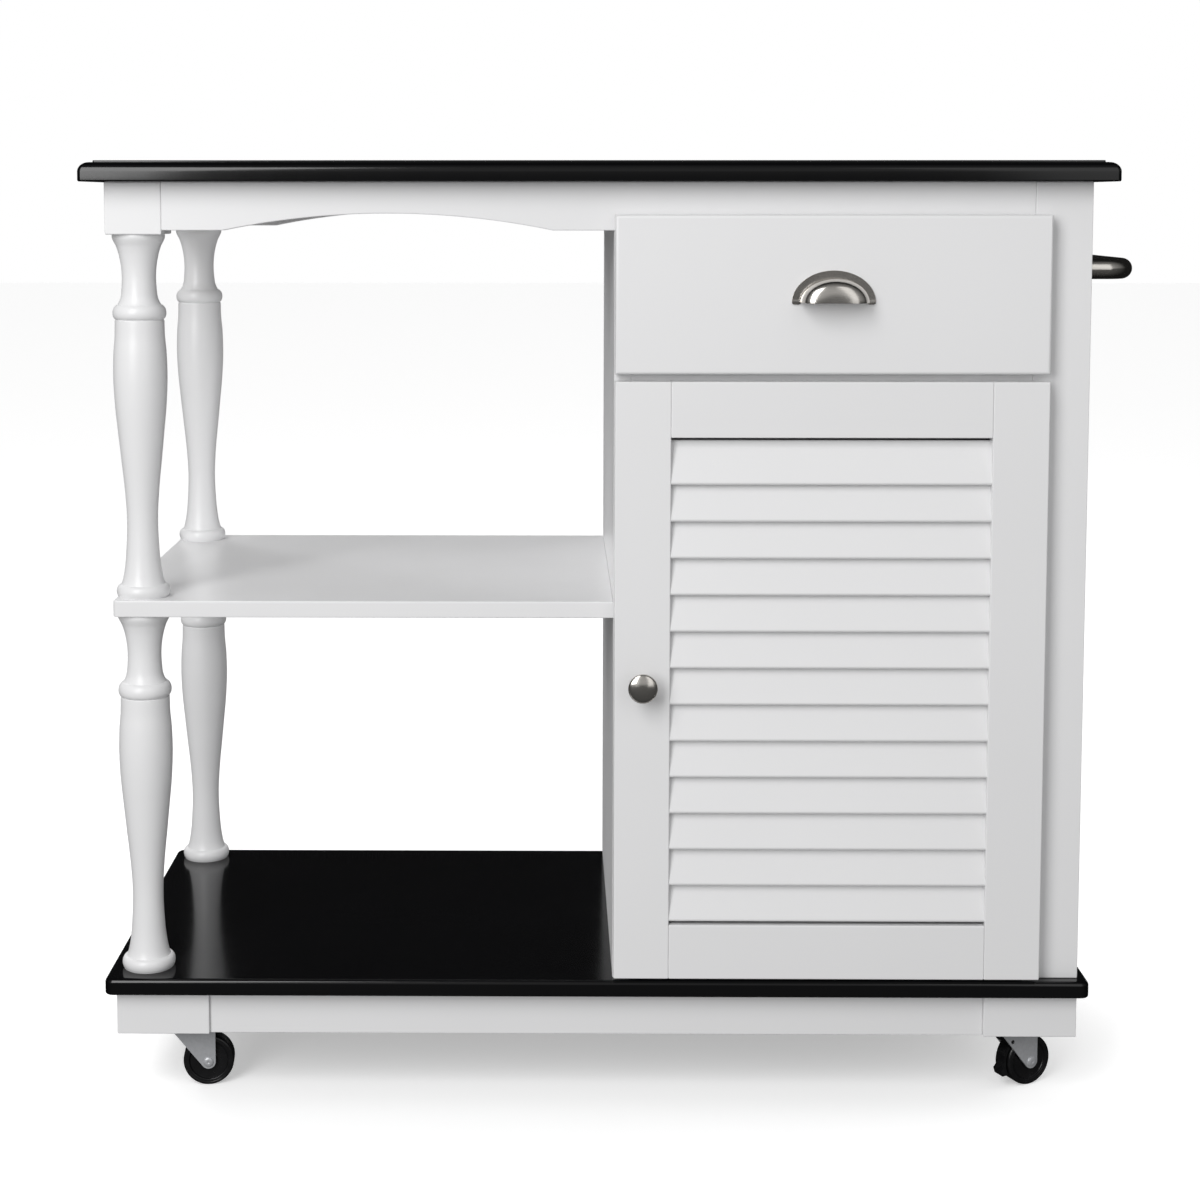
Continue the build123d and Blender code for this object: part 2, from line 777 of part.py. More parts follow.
def make_knob_screw():
    """Screw through the stile into the knob."""
    tip = front_face_y - knob_screw_depth + screw_clearance
    shank = rod(knob_screw_radius, (knob_x, front_back_y, knob_z), (knob_x, tip, knob_z))
    head = rod(screw_head_radius, (knob_x, front_back_y, knob_z),
               (knob_x, front_back_y + screw_head_height, knob_z))
    return shank + head


def make_hinge_cups():
    """The two hollow hinge cups in the back of the right stile, with their flanges."""
    cups = []
    for z in cup_heights:
        mouth = (cup_x, front_back_y, z)
        cup = rod(cup_radius, mouth, (cup_x, front_back_y - cup_depth, z))
        flange = rod(cup_radius + cup_flange, mouth, (cup_x, front_back_y + cup_wall / 2, z))
        hollow = rod(cup_radius - cup_wall, (cup_x, front_back_y + cup_wall / 2, z),
                     (cup_x, front_back_y - cup_depth + cup_wall, z))
        cups.append(cup + flange - hollow)
    return group(cups)


def make_hinge_arms():
    """The two hinge arms on the inner edge of the front post, each with its plate."""
    arms = []
    plate_low_x = post_inner_x - hinge_plate_thickness
    arm_front = -front_gap / 4
    back_y = post_thickness - board_ease
    for z in cup_heights:
        plate = block(plate_low_x, post_inner_x, board_ease, back_y,
                      z - hinge_plate_half_height, z + hinge_plate_half_height)
        arm = block(plate_low_x - hinge_arm_length, plate_low_x, arm_front, back_y,
                    z - hinge_arm_width / 2, z + hinge_arm_width / 2)
        arms.append(plate + arm)
    return group(arms)


def catch_low_x():
    """Left end of the magnetic catch."""
    return cabinet_inner_x + catch_side_gap


def make_magnetic_catch():
    """Magnetic catch fixed under the middle rail."""
    low_x = catch_low_x()
    return eased(block(low_x, low_x + catch_length, catch_front_gap, catch_front_gap + catch_depth,
                       middle_rail_bottom - catch_height, middle_rail_bottom), catch_ease)


def make_catch_plate():
    """Steel plate on the back of the door, facing the catch."""
    low_x = catch_low_x()
    plate_thickness = front_gap / 2
    low_z = max(middle_rail_bottom - catch_height, louvre_top)
    return block(low_x, low_x + catch_length, front_back_y, front_back_y + plate_thickness,
                 low_z, middle_rail_bottom)


# ---------------------------------------------------------------- towel bar
def make_towel_bar():
    """Round bar bent to a long U, standing out from the right-hand side."""
    out_x = half_width + bar_reach - bar_radius
    front_y, rear_y = bar_ys
    corners = [(half_width, front_y, bar_height), (out_x, front_y, bar_height),
               (out_x, rear_y, bar_height), (half_width, rear_y, bar_height)]
    path = FilletPolyline(*corners, radius=bar_bend_radius)
    start = Plane(origin=corners[0], z_dir=(1, 0, 0))
    bar = sweep(start * Circle(bar_radius), path=path)
    for y in bar_ys:
        hole = rod(bar_screw_radius + screw_clearance, (half_width, y, bar_height),
                   (half_width + bar_screw_depth, y, bar_height))
        bar = bar - hole
    return bar


def make_towel_bar_screws():
    """Two screws from inside the side panel into the ends of the bar."""
    screws = []
    for y in bar_ys:
        tip = half_width + bar_screw_depth - screw_clearance
        shank = rod(bar_screw_radius, (side_panel_inner_x, y, bar_height), (tip, y, bar_height))
        head = rod(screw_head_radius, (side_panel_inner_x - screw_head_height, y, bar_height),
                   (side_panel_inner_x, y, bar_height))
        screws.append(shank + head)
    return group(screws)


# ---------------------------------------------------------------- skirt
def make_corner_blocks():
    """Four solid blocks under the corners of the base board, which carry the casters."""
    blocks = []
    for side in (-1, 1):
        for low_y in (0, carcass_depth - corner_block_depth):
            low_x, high_x = sorted((side * half_width, side * (half_width - corner_block_length)))
            corner = eased(block(low_x, high_x, low_y, low_y + corner_block_depth,
                                 skirt_bottom, base_bottom))
            if side < 0:
                for hole in stud_holes(stud_foot_z - stud_clearance, base_bottom):
                    corner = corner - hole
            corner = corner - group(caster_screw_holes())
            blocks.append(corner)
    return group(blocks)


def long_skirt(low_y):
    """Long rail between two corner blocks."""
    reach = half_width - corner_block_length
    return block(-reach, reach, low_y, low_y + skirt_rail_thickness, skirt_bottom, base_bottom)


def short_skirt(side):
    """Short rail between the front and rear corner blocks of one end."""
    outer = side * (half_width - skirt_rail_recess)
    low_x, high_x = sorted((outer, outer - side * skirt_rail_thickness))
    return block(low_x, high_x, corner_block_depth, carcass_depth - corner_block_depth,
                 skirt_bottom, base_bottom)


# ---------------------------------------------------------------- casters
def caster_screw_places():
    """Centre of every caster screw."""
    places = []
    for x, y in caster_places.values():
        for side_x in (-1, 1):
            for side_y in (-1, 1):
                places.append((x + side_x * caster_hole_spacing_x / 2,
                               y + side_y * caster_hole_spacing_y / 2))
    return places


def caster_screw_holes():
    """Pilot holes for the caster screws."""
    low = skirt_bottom
    high = skirt_bottom + caster_screw_length
    radius = caster_screw_radius + screw_clearance
    return [rod(radius, (x, y, low), (x, y, high)) for x, y in caster_screw_places()]


def make_caster_screws():
    """Sixteen screws that hold the caster plates to the corner blocks."""
    screws = []
    plate_bottom = skirt_bottom - caster_plate_thickness
    for x, y in caster_screw_places():
        shank = rod(caster_screw_radius, (x, y, plate_bottom),
                    (x, y, skirt_bottom + caster_screw_length - screw_clearance))
        head = rod(caster_screw_head_radius, (x, y, plate_bottom - caster_screw_head_height),
                   (x, y, plate_bottom))
        screws.append(shank + head)
    return group(screws)


def caster_plate(place):
    """Mounting plate with its bearing race and the king pin riveted through it."""
    x, y = place
    plate_bottom = skirt_bottom - caster_plate_thickness
    plate = block(x - caster_plate_length / 2, x + caster_plate_length / 2,
                  y - caster_plate_width / 2, y + caster_plate_width / 2,
                  plate_bottom, skirt_bottom)
    plate = fillet(plate.edges().filter_by(Axis.Z), caster_plate_corner)
    for side_x in (-1, 1):
        for side_y in (-1, 1):
            hole_x = x + side_x * caster_hole_spacing_x / 2
            hole_y = y + side_y * caster_hole_spacing_y / 2
            plate = plate - rod(caster_screw_radius + screw_clearance,
                                (hole_x, hole_y, plate_bottom), (hole_x, hole_y, skirt_bottom))
    race = rod(race_radius, (x, y, plate_bottom - race_height), (x, y, plate_bottom))
    head_top = crown_bottom - pin_end_play
    pin = rod(king_pin_radius, (x, y, head_top), (x, y, plate_bottom))
    head = rod(king_pin_head_radius, (x, y, head_top - fork_metal), (x, y, head_top))
    return plate + race + pin + head


def make_caster_plates():
    """The four mounting plates."""
    return group([caster_plate(place) for place in caster_places.values()])


def cheek_outline():
    """Side shape of the fork: wide at the crown, tapering to the axle."""
    lead = (-fork_lead, 0, crown_top)
    top_rear = (caster_trail + fork_toe_radius, 0, crown_top)
    rear_low = (caster_trail + fork_toe_radius, 0, axle_height)
    swing = math.radians(fork_toe_turn)
    toe = (caster_trail + fork_toe_radius * math.cos(swing), 0,
           axle_height + fork_toe_radius * math.sin(swing))
    low = (caster_trail, 0, axle_height - fork_toe_radius)
    sides = Line(lead, top_rear) + Line(top_rear, rear_low) + Line(toe, lead)
    return make_face(sides + ThreePointArc(rear_low, low, toe))


def fork_body(braked):
    """Bent sheet fork drawn at the origin with the wheel trailing along +X, and its axle."""
    cheek = extrude(cheek_outline(), amount=fork_metal, dir=(0, 1, 0))
    near = Pos(0, cheek_inner, 0) * cheek
    far = Pos(0, -cheek_outer, 0) * cheek
    crown = block(-fork_lead, caster_trail + fork_toe_radius, -cheek_outer, cheek_outer,
                  crown_bottom, crown_top)
    crown = crown & rod(caster_trail + fork_toe_radius, (0, 0, crown_bottom), (0, 0, crown_top))
    disc = rod(crown_radius, (0, 0, crown_bottom), (0, 0, crown_top))
    fork = crown + disc + near + far
    fork = fork - rod(king_pin_radius + running_clearance, (0, 0, crown_bottom), (0, 0, crown_top))
    fork = fork - rod(axle_radius + running_clearance, (caster_trail, -cheek_outer, axle_height),
                      (caster_trail, cheek_outer, axle_height))
    if braked:
        fork = fork - rod(brake_pivot_radius + running_clearance,
                          (0, -cheek_outer, brake_pivot_height), (0, cheek_outer, brake_pivot_height))
    axle = rod(axle_radius, (caster_trail, -cheek_outer, axle_height),
               (caster_trail, cheek_outer, axle_height))
    for side in (-1, 1):
        start = (caster_trail, side * cheek_outer, axle_height)
        end = (caster_trail, side * (cheek_outer + axle_head_height), axle_height)
        axle = axle + rod(axle_head_radius, start, end)
    return [fork, axle]


def wheel_body():
    """Moulded wheel drawn at the origin: rounded tread, dished sides and a bored hub."""
    half = wheel_width / 2
    wheel = rod(wheel_radius, (0, -half, 0), (0, half, 0))
    rims = wheel.edges().filter_by(GeomType.CIRCLE)
    wheel = fillet(rims, wheel_edge_round)
    for side in (-1, 1):
        outer = (0, side * half, 0)
        floor = (0, side * (half - wheel_dish), 0)
        wheel = wheel - (rod(rim_inner_radius, floor, outer) - rod(hub_radius, floor, outer))
    return wheel - rod(axle_radius + running_clearance, (0, -half, 0), (0, half, 0))


def brake_body():
    """Brake lever drawn at the origin: a curved shoe ahead of the wheel with a toe tab."""
    half = brake_shoe_half_width
    boss_half = cheek_inner - brake_play
    inner = wheel_radius + brake_pad_gap
    outer = inner + brake_thickness
    axle = Vector(caster_trail, 0, axle_height)

    def around(radius, degrees):
        turn = math.radians(degrees)
        return (axle.X + radius * math.cos(turn), 0, axle.Z + radius * math.sin(turn))

    start, middle, end = brake_shoe_turns
    tab_start, tip_start, tip_end, tab_end = brake_tab_turns
    tab_root = outer - brake_tab_root
    tab_tip = outer + brake_tab
    outline = (ThreePointArc(around(inner, start), around(inner, middle), around(inner, end))
               + Line(around(inner, end), around(outer, end))
               + ThreePointArc(around(outer, end), around(outer, middle), around(outer, start))
               + Line(around(outer, start), around(inner, start)))
    shoe = Pos(0, -half, 0) * extrude(make_face(outline), amount=2 * half, dir=(0, 1, 0))
    tab_outline = Polyline(around(tab_root, tab_start), around(tab_tip, tip_start),
                           around(tab_tip, tip_end), around(tab_root, tab_end),
                           around(tab_root, tab_start))
    tab = Pos(0, -half, 0) * extrude(make_face(tab_outline), amount=2 * half, dir=(0, 1, 0))
    boss = rod(brake_boss_radius, (0, -boss_half, brake_pivot_height),
               (0, boss_half, brake_pivot_height))
    pivot = rod(brake_pivot_radius, (0, -cheek_outer, brake_pivot_height),
                (0, cheek_outer, brake_pivot_height))
    return shoe + tab + boss + pivot


def stand(caster, piece):
    """Put a caster piece at its corner, turned to the way that caster points."""
    x, y = caster_places[caster]
    return Pos(x, y, 0) * Rot(0, 0, caster_headings[caster]) * piece


# ---------------------------------------------------------------- all pieces
def make_pieces():
    """Every piece of the cart by its name."""
    rear_apron_y = carcass_depth - apron_thickness
    pieces = {
        "worktop": make_worktop(),
        "front_apron": arched_apron(0),
        "rear_apron": arched_apron(rear_apron_y),
        "left_apron": make_left_apron(),
        "worktop_cleats": make_worktop_cleats(),
        "front_left_upper_leg": upper_leg(front_leg_y),
        "rear_left_upper_leg": upper_leg(rear_leg_y),
        "front_left_lower_leg": lower_leg(front_leg_y),
        "rear_left_lower_leg": lower_leg(rear_leg_y),
        "leg_studs": make_leg_studs(),
        "front_right_post": post(0),
        "rear_right_post": post(carcass_depth - post_thickness),
        "right_side_panel": make_right_side_panel(),
        "left_cabinet_panel": make_left_cabinet_panel(),
        "back_panel": make_back_panel(),
        "middle_rail": make_middle_rail(),
        "middle_shelf": make_middle_shelf(),
        "cabinet_shelf": make_cabinet_shelf(),
        "shelf_pins": make_shelf_pins(),
        "runner_spacer": make_runner_spacer(),
        "cabinet_runners": make_cabinet_runners(),
        "hinge_arms": make_hinge_arms(),
        "magnetic_catch": make_magnetic_catch(),
        "base_board": make_base_board(),
        "corner_blocks": make_corner_blocks(),
        "front_skirt": long_skirt(skirt_rail_recess),
        "rear_skirt": long_skirt(carcass_depth - skirt_rail_recess - skirt_rail_thickness),
        "left_skirt": short_skirt(-1),
        "right_skirt": short_skirt(1),
        "towel_bar": make_towel_bar(),
        "towel_bar_screws": make_towel_bar_screws(),
        "caster_plates": make_caster_plates(),
        "caster_screws": make_caster_screws(),
        "drawer_front": make_drawer_front(),
        "drawer_left_side": drawer_side(drawer_left, 1),
        "drawer_right_side": drawer_side(drawer_right - drawer_board, -1),
        "drawer_back": make_drawer_back(),
        "drawer_bottom": make_drawer_bottom(),
        "drawer_runners": make_drawer_runners(),
        "cup_pull": make_cup_pull(),
        "cup_pull_screws": make_cup_pull_screws(),
        "door_left_stile": make_door_left_stile(),
        "door_right_stile": make_door_right_stile(),
        "door_top_rail": door_rail(louvre_top),
        "door_bottom_rail": door_rail(door_bottom),
        "louvre_slats": make_louvre_slats(),
        "door_knob": make_door_knob(),
        "knob_screw": make_knob_screw(),
        "hinge_cups": make_hinge_cups(),
        "catch_plate": make_catch_plate(),
    }
    wheel = Pos(caster_trail, 0, axle_height) * wheel_body()
    brake = brake_body()
    for caster in caster_places:
        fork = group(fork_body(caster in braked_casters))
        pieces[f"{caster}_caster_fork"] = stand(caster, fork)
        pieces[f"{caster}_wheel"] = stand(caster, wheel)
        if caster in braked_casters:
            pieces[f"{caster}_brake_lever"] = stand(caster, brake)
    return pieces


def main():
    """Write every piece in the object's own frame."""
    os.makedirs("parts", exist_ok=True)
    for name, piece in make_pieces().items():
        export_step(Pos(-origin_x, -origin_y, 0) * piece, f"parts/{name}.step")


main()
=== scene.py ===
"""Kitchen island cart: its visible pieces and finishes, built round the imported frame.

Lengths are metres in the frame's own axes: X runs along the cart, -Y is the front and Z is up.
Sizes that a maker would call in millimetres are written as a number times MM.
"""

import json
import logging
import math
from dataclasses import dataclass
from enum import Enum
from typing import Any, Callable, Sequence

import bmesh
import bpy
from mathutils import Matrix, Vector


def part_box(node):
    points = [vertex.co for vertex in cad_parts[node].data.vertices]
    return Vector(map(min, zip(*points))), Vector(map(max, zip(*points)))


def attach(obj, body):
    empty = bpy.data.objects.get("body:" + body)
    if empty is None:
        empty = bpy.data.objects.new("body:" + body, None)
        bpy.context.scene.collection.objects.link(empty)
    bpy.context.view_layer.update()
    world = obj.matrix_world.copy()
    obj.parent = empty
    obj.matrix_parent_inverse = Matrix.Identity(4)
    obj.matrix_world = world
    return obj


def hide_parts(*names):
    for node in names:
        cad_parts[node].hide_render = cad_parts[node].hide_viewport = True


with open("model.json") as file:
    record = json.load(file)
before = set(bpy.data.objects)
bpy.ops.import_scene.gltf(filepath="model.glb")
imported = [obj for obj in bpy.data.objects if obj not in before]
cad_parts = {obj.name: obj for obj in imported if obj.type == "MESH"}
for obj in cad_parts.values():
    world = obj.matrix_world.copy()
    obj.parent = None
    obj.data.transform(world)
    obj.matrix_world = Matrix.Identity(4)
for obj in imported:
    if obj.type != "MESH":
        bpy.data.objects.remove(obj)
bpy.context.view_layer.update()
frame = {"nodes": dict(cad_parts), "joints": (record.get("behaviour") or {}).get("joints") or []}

MM = 0.001
LOG = logging.getLogger("kitchen_cart")

Point = tuple[float, float]
Triple = tuple[float, float, float]
Colour = Triple
Test = Callable[[Any], bool]


class Level(Enum):
    """What a selection in edit mode is made of."""

    POINT = "VERT"
    EDGE = "EDGE"
    FACE = "FACE"


class Slot(Enum):
    """The record's material slots."""

    WHITE_PAINT = "white_paint"
    BLACK_PAINT = "black_paint"
    BARE_BOARD = "bare_board"
    SATIN_NICKEL = "satin_nickel"
    ZINC_PLATE = "zinc_plate"
    BLACK_PLASTIC = "black_plastic"
    WHITE_PLASTIC = "white_plastic"


class Body(Enum):
    """The frame's bodies that do not belong to a caster."""

    CARCASS = "carcass"
    DRAWER = "drawer"
    DOOR = "door"


# ---- shader maths
class Value:
    """A number that changes over a surface, so that shader maths reads as Python."""

    def __init__(self, recipe: "NodeBench", socket: bpy.types.NodeSocket) -> None:
        """Wraps one output socket of a node tree."""
        self.recipe = recipe
        self.socket = socket

    def _with(self, operation: str, first: Any, second: Any) -> "Value":
        """Adds one Math node on two numbers and wraps its result."""
        node = self.recipe.node("ShaderNodeMath", {"operation": operation}, {0: first, 1: second})
        return Value(self.recipe, node.outputs[0])

    def __add__(self, other: Any) -> "Value":
        """self + other."""
        return self._with("ADD", self, other)

    def __radd__(self, other: Any) -> "Value":
        """other + self."""
        return self._with("ADD", other, self)

    def __sub__(self, other: Any) -> "Value":
        """self - other."""
        return self._with("SUBTRACT", self, other)

    def __rsub__(self, other: Any) -> "Value":
        """other - self."""
        return self._with("SUBTRACT", other, self)

    def __mul__(self, other: Any) -> "Value":
        """self * other."""
        return self._with("MULTIPLY", self, other)

    def __rmul__(self, other: Any) -> "Value":
        """other * self."""
        return self._with("MULTIPLY", other, self)

    def __pow__(self, other: Any) -> "Value":
        """self ** other."""
        return self._with("POWER", self, other)

    def within(self, low: float, high: float) -> "Value":
        """Held between two numbers."""
        return self._with("MINIMUM", self._with("MAXIMUM", self, low), high)


class NodeBench:
    """A cleared node tree to which nodes are added."""

    def __init__(self, owner: Any) -> None:
        """Clears a node tree.

        Args:
            owner: the material or world that holds it.
        """
        owner.use_nodes = True
        self.tree = owner.node_tree
        self.tree.nodes.clear()

    def node(self, kind: str, settings: dict[str, Any] | None = None,
             inputs: dict[Any, Any] | None = None) -> bpy.types.Node:
        """Adds one node.

        Args:
            kind: the node's type.
            settings: its own properties, set before its sockets.
            inputs: values, sockets or Values for its sockets, by name or number.

        Returns:
            The new node.
        """
        node = self.tree.nodes.new(kind)
        for key, value in (settings or {}).items():
            setattr(node, key, value)
        for key, value in (inputs or {}).items():
            source = value.socket if isinstance(value, Value) else value
            if isinstance(source, bpy.types.NodeSocket):
                self.tree.links.new(source, node.inputs[key])
            else:
                node.inputs[key].default_value = source
        return node


class Recipe(NodeBench):
    """The node tree of one finish, round one Principled shader."""

    def __init__(self, name: str) -> None:
        """Starts an empty material.

        Args:
            name: the material's name.
        """
        self.material = bpy.data.materials.new(name)
        super().__init__(self.material)
        self.shader = self.node("ShaderNodeBsdfPrincipled")
        self.node("ShaderNodeOutputMaterial", None, {"Surface": self.shader.outputs["BSDF"]})

    def place(self, stretch: Triple = (1.0, 1.0, 1.0)) -> bpy.types.NodeSocket:
        """Object coordinates for a pattern.

        Args:
            stretch: how much denser the pattern is along each axis.

        Returns:
            The coordinates' socket.
        """
        coordinates = self.node("ShaderNodeTexCoord")
        mapping = self.node("ShaderNodeMapping", None, {
            "Vector": coordinates.outputs["Object"], "Scale": stretch})
        return mapping.outputs["Vector"]

    def noise(self, scale: float, detail: float = 2.0,
              stretch: Triple = (1.0, 1.0, 1.0)) -> Value:
        """Smooth noise from 0 to 1.

        Args:
            scale: its swells to the metre.
            detail: how many finer layers it has.
            stretch: how much denser it is along each axis.

        Returns:
            The noise.
        """
        node = self.node("ShaderNodeTexNoise", None, {
            "Vector": self.place(stretch), "Scale": scale, "Detail": detail})
        return Value(self, node.outputs[0])

    def cells(self, scale: float) -> Value:
        """One flat random number for each small cell of the surface.

        Args:
            scale: cells to the metre.

        Returns:
            The number.
        """
        node = self.node("ShaderNodeTexVoronoi", {"feature": "F1"}, {
            "Vector": self.place(), "Scale": scale})
        shade = self.node("ShaderNodeSeparateColor", None, {0: node.outputs["Color"]})
        return Value(self, shade.outputs[0])

    def blend(self, share: Value, first: Colour, second: Colour) -> bpy.types.NodeSocket:
        """A colour between two.

        Args:
            share: how much of the second one there is.
            first: the colour at 0.
            second: the colour at 1.

        Returns:
            The colour's socket.
        """
        node = self.node("ShaderNodeMix", {"data_type": "RGBA"}, {
            0: share, 6: (*first, 1.0), 7: (*second, 1.0)})
        return node.outputs[2]

    def dress(self, colour: Any, roughness: Any, height: Value, depth: float, strength: float,
              **constants: float) -> bpy.types.Material:
        """Connects what varies to the shader and sets what does not.

        Args:
            colour: a linked colour.
            roughness: a linked roughness.
            height: the relief, from 0 to 1.
            depth: how far the relief rises, in metres.
            strength: how strongly the relief shows.
            constants: plain values of the shader's own sockets, with _ for a space.

        Returns:
            The finished material.
        """
        bump = self.node("ShaderNodeBump", None, {
            "Strength": strength, "Distance": depth, "Height": height})
        for key, source in (("Base Color", colour), ("Roughness", roughness.socket),
                            ("Normal", bump.outputs["Normal"])):
            self.tree.links.new(source, self.shader.inputs[key])
        for key, value in constants.items():
            self.shader.inputs[key.replace("_", " ")].default_value = value
        return self.material


# ---- finishes
@dataclass(frozen=True)
class SprayedPaint:
    """Paint sprayed on sanded wood: a faint mottle and orange peel over a trace of the grain."""

    name: str
    colour: Colour
    mottle: Colour
    roughness: float
    spread: float
    peel: float
    strength: float
    shine: float = 0.5

    def make(self) -> bpy.types.Material:
        """Builds the finish.

        Returns:
            The material.
        """
        recipe = Recipe(self.name)
        cloud = recipe.noise(5.0, 3.0)
        film = recipe.noise(38.0, 3.0)
        fine = recipe.noise(520.0, 1.0)
        grain = recipe.noise(26.0, 4.0, (3.0, 3.0, 24.0))
        colour = recipe.blend(cloud, self.colour, self.mottle)
        roughness = self.roughness + (film - 0.5) * self.spread
        height = fine * 0.55 + film * 0.3 + grain * 0.15
        return recipe.dress(colour, roughness, height, self.peel, self.strength,
                            Specular_IOR_Level=self.shine)


@dataclass(frozen=True)
class Plywood:
    """Clear-lacquered plywood with long grain along X or Y."""

    name: str
    early: Colour
    late: Colour
    stretch: Triple

    def make(self) -> bpy.types.Material:
        """Builds the finish.

        Returns:
            The material.
        """
        recipe = Recipe(self.name)
        figure = recipe.noise(9.0, 5.0, self.stretch)
        pores = recipe.noise(55.0, 3.0, self.stretch)
        share = figure * 0.75 + pores * 0.35 - 0.05
        colour = recipe.blend(share, self.early, self.late)
        roughness = 0.5 + pores * 0.16
        return recipe.dress(colour, roughness, pores * 0.7 + figure * 0.3, 0.25 * MM, 0.35)


@dataclass(frozen=True)
class BrushedMetal:
    """Plated metal brushed in one direction."""

    name: str
    bright: Colour
    dull: Colour
    roughness: float
    spread: float
    stretch: Triple
    strength: float

    def make(self) -> bpy.types.Material:
        """Builds the finish.

        Returns:
            The material.
        """
        recipe = Recipe(self.name)
        lines = recipe.noise(42.0, 4.0, self.stretch)
        haze = recipe.noise(46.0, 3.0)
        colour = recipe.blend(lines * 0.6 + haze * 0.4, self.bright, self.dull)
        roughness = self.roughness + (lines - 0.5) * self.spread + (haze - 0.5) * 0.06
        return recipe.dress(colour, roughness, lines, 0.04 * MM, self.strength, Metallic=1.0)


@dataclass(frozen=True)
class ZincPlate:
    """Bright zinc on pressed steel, with faint crystals and handling haze."""

    name: str
    bright: Colour
    dull: Colour

    def make(self) -> bpy.types.Material:
        """Builds the finish.

        Returns:
            The material.
        """
        recipe = Recipe(self.name)
        crystals = recipe.cells(420.0)
        haze = recipe.noise(70.0, 4.0)
        colour = recipe.blend(crystals * 0.35 + haze * 0.65, self.bright, self.dull)
        roughness = 0.30 + haze * 0.14 + crystals * 0.05
        return recipe.dress(colour, roughness, haze * 0.7 + crystals * 0.3, 0.05 * MM, 0.3,
                            Metallic=0.45)


@dataclass(frozen=True)
class MouldedPlastic:
    """Moulded plastic with a fine spark-eroded texture."""

    name: str
    colour: Colour
    scuffed: Colour
    roughness: float

    def make(self) -> bpy.types.Material:
        """Builds the finish.

        Returns:
            The material.
        """
        recipe = Recipe(self.name)
        scuffs = recipe.noise(90.0, 5.0)
        fine = recipe.noise(1500.0, 2.0)
        colour = recipe.blend(scuffs ** 3.0, self.colour, self.scuffed)
        roughness = self.roughness + scuffs * 0.12
        return recipe.dress(colour, roughness, fine * 0.6 + scuffs * 0.4, 0.06 * MM, 0.35)


@dataclass(frozen=True)
class StudioFloor:
    """A pale seamless floor."""

    name: str = "pale_floor"
    colour: Colour = (0.93, 0.93, 0.93)
    glow: float = 0.38

    def make(self) -> bpy.types.Material:
        """Builds the finish.

        Returns:
            The material.
        """
        recipe = Recipe(self.name)
        cloud = recipe.noise(1.5, 2.0)
        shade = tuple(channel * 0.985 for channel in self.colour)
        colour = recipe.blend(cloud, self.colour, shade)
        recipe.shader.inputs["Emission Color"].default_value = (1.0, 1.0, 1.0, 1.0)
        return recipe.dress(colour, 0.75 + cloud * 0.05, cloud, 0.05 * MM, 0.05,
                            Emission_Strength=self.glow)


def make_finishes() -> dict[Slot, bpy.types.Material]:
    """Makes every finish of the cart.

    Returns:
        One material for each slot of the record.
    """
    makers = {
        Slot.WHITE_PAINT: SprayedPaint(
            "white_sprayed_paint", colour=(0.82, 0.82, 0.826), mottle=(0.795, 0.794, 0.80),
            roughness=0.33, spread=0.10, peel=0.11 * MM, strength=0.16),
        Slot.BLACK_PAINT: SprayedPaint(
            "black_satin_paint", colour=(0.0022, 0.0022, 0.0026), mottle=(0.0038, 0.0038, 0.0042),
            roughness=0.13, spread=0.05, peel=0.05 * MM, strength=0.12, shine=0.4),
        Slot.BARE_BOARD: Plywood(
            "lacquered_plywood", early=(0.66, 0.49, 0.30), late=(0.45, 0.29, 0.15),
            stretch=(1.2, 1.2, 16.0)),
        Slot.SATIN_NICKEL: BrushedMetal(
            "satin_nickel", bright=(0.66, 0.635, 0.60), dull=(0.54, 0.515, 0.48),
            roughness=0.19, spread=0.10, stretch=(1.0, 26.0, 26.0), strength=0.22),
        Slot.ZINC_PLATE: ZincPlate(
            "zinc_plate", bright=(0.64, 0.65, 0.67), dull=(0.50, 0.51, 0.53)),
        Slot.BLACK_PLASTIC: MouldedPlastic(
            "black_moulded_nylon", colour=(0.004, 0.004, 0.0045), scuffed=(0.022, 0.022, 0.024),
            roughness=0.20),
        Slot.WHITE_PLASTIC: MouldedPlastic(
            "white_moulded_plastic", colour=(0.78, 0.78, 0.76), scuffed=(0.66, 0.66, 0.64),
            roughness=0.38),
    }
    return {slot: maker.make() for slot, maker in makers.items()}


# ---- bench tools
def at(axis: int, value: float, slack: float = 0.02 * MM) -> Test:
    """A test for a point, edge or face that lies wholly at one coordinate.

    Args:
        axis: 0, 1 or 2 for X, Y or Z.
        value: the coordinate, in metres.
        slack: how far off a point may be.

    Returns:
        The test.
    """
    def test(part: Any) -> bool:
        """Whether every point of the part has that coordinate."""
        points = [part] if isinstance(part, bmesh.types.BMVert) else part.verts
        return all(abs(point.co[axis] - value) < slack for point in points)
    return test


def along(axis: int) -> Test:
    """A test for an edge that runs along one axis.

    Args:
        axis: 0, 1 or 2 for X, Y or Z.

    Returns:
        The test.
    """
    def test(edge: Any) -> bool:
        """Whether the edge has a length and lies along the axis."""
        run = edge.verts[1].co - edge.verts[0].co
        return run.length > 0 and abs(run.normalized()[axis]) > 0.999
    return test


def both(*tests: Test) -> Test:
    """A test that holds where all of these hold."""
    return lambda part: all(test(part) for test in tests)


def everything(part: Any) -> bool:
    """A test that always holds."""
    return True


def clear_selection() -> None:
    """Leaves edit mode and deselects every object."""
    if bpy.context.mode != "OBJECT":
        bpy.ops.object.mode_set(mode="OBJECT")
    bpy.ops.object.select_all(action="DESELECT")


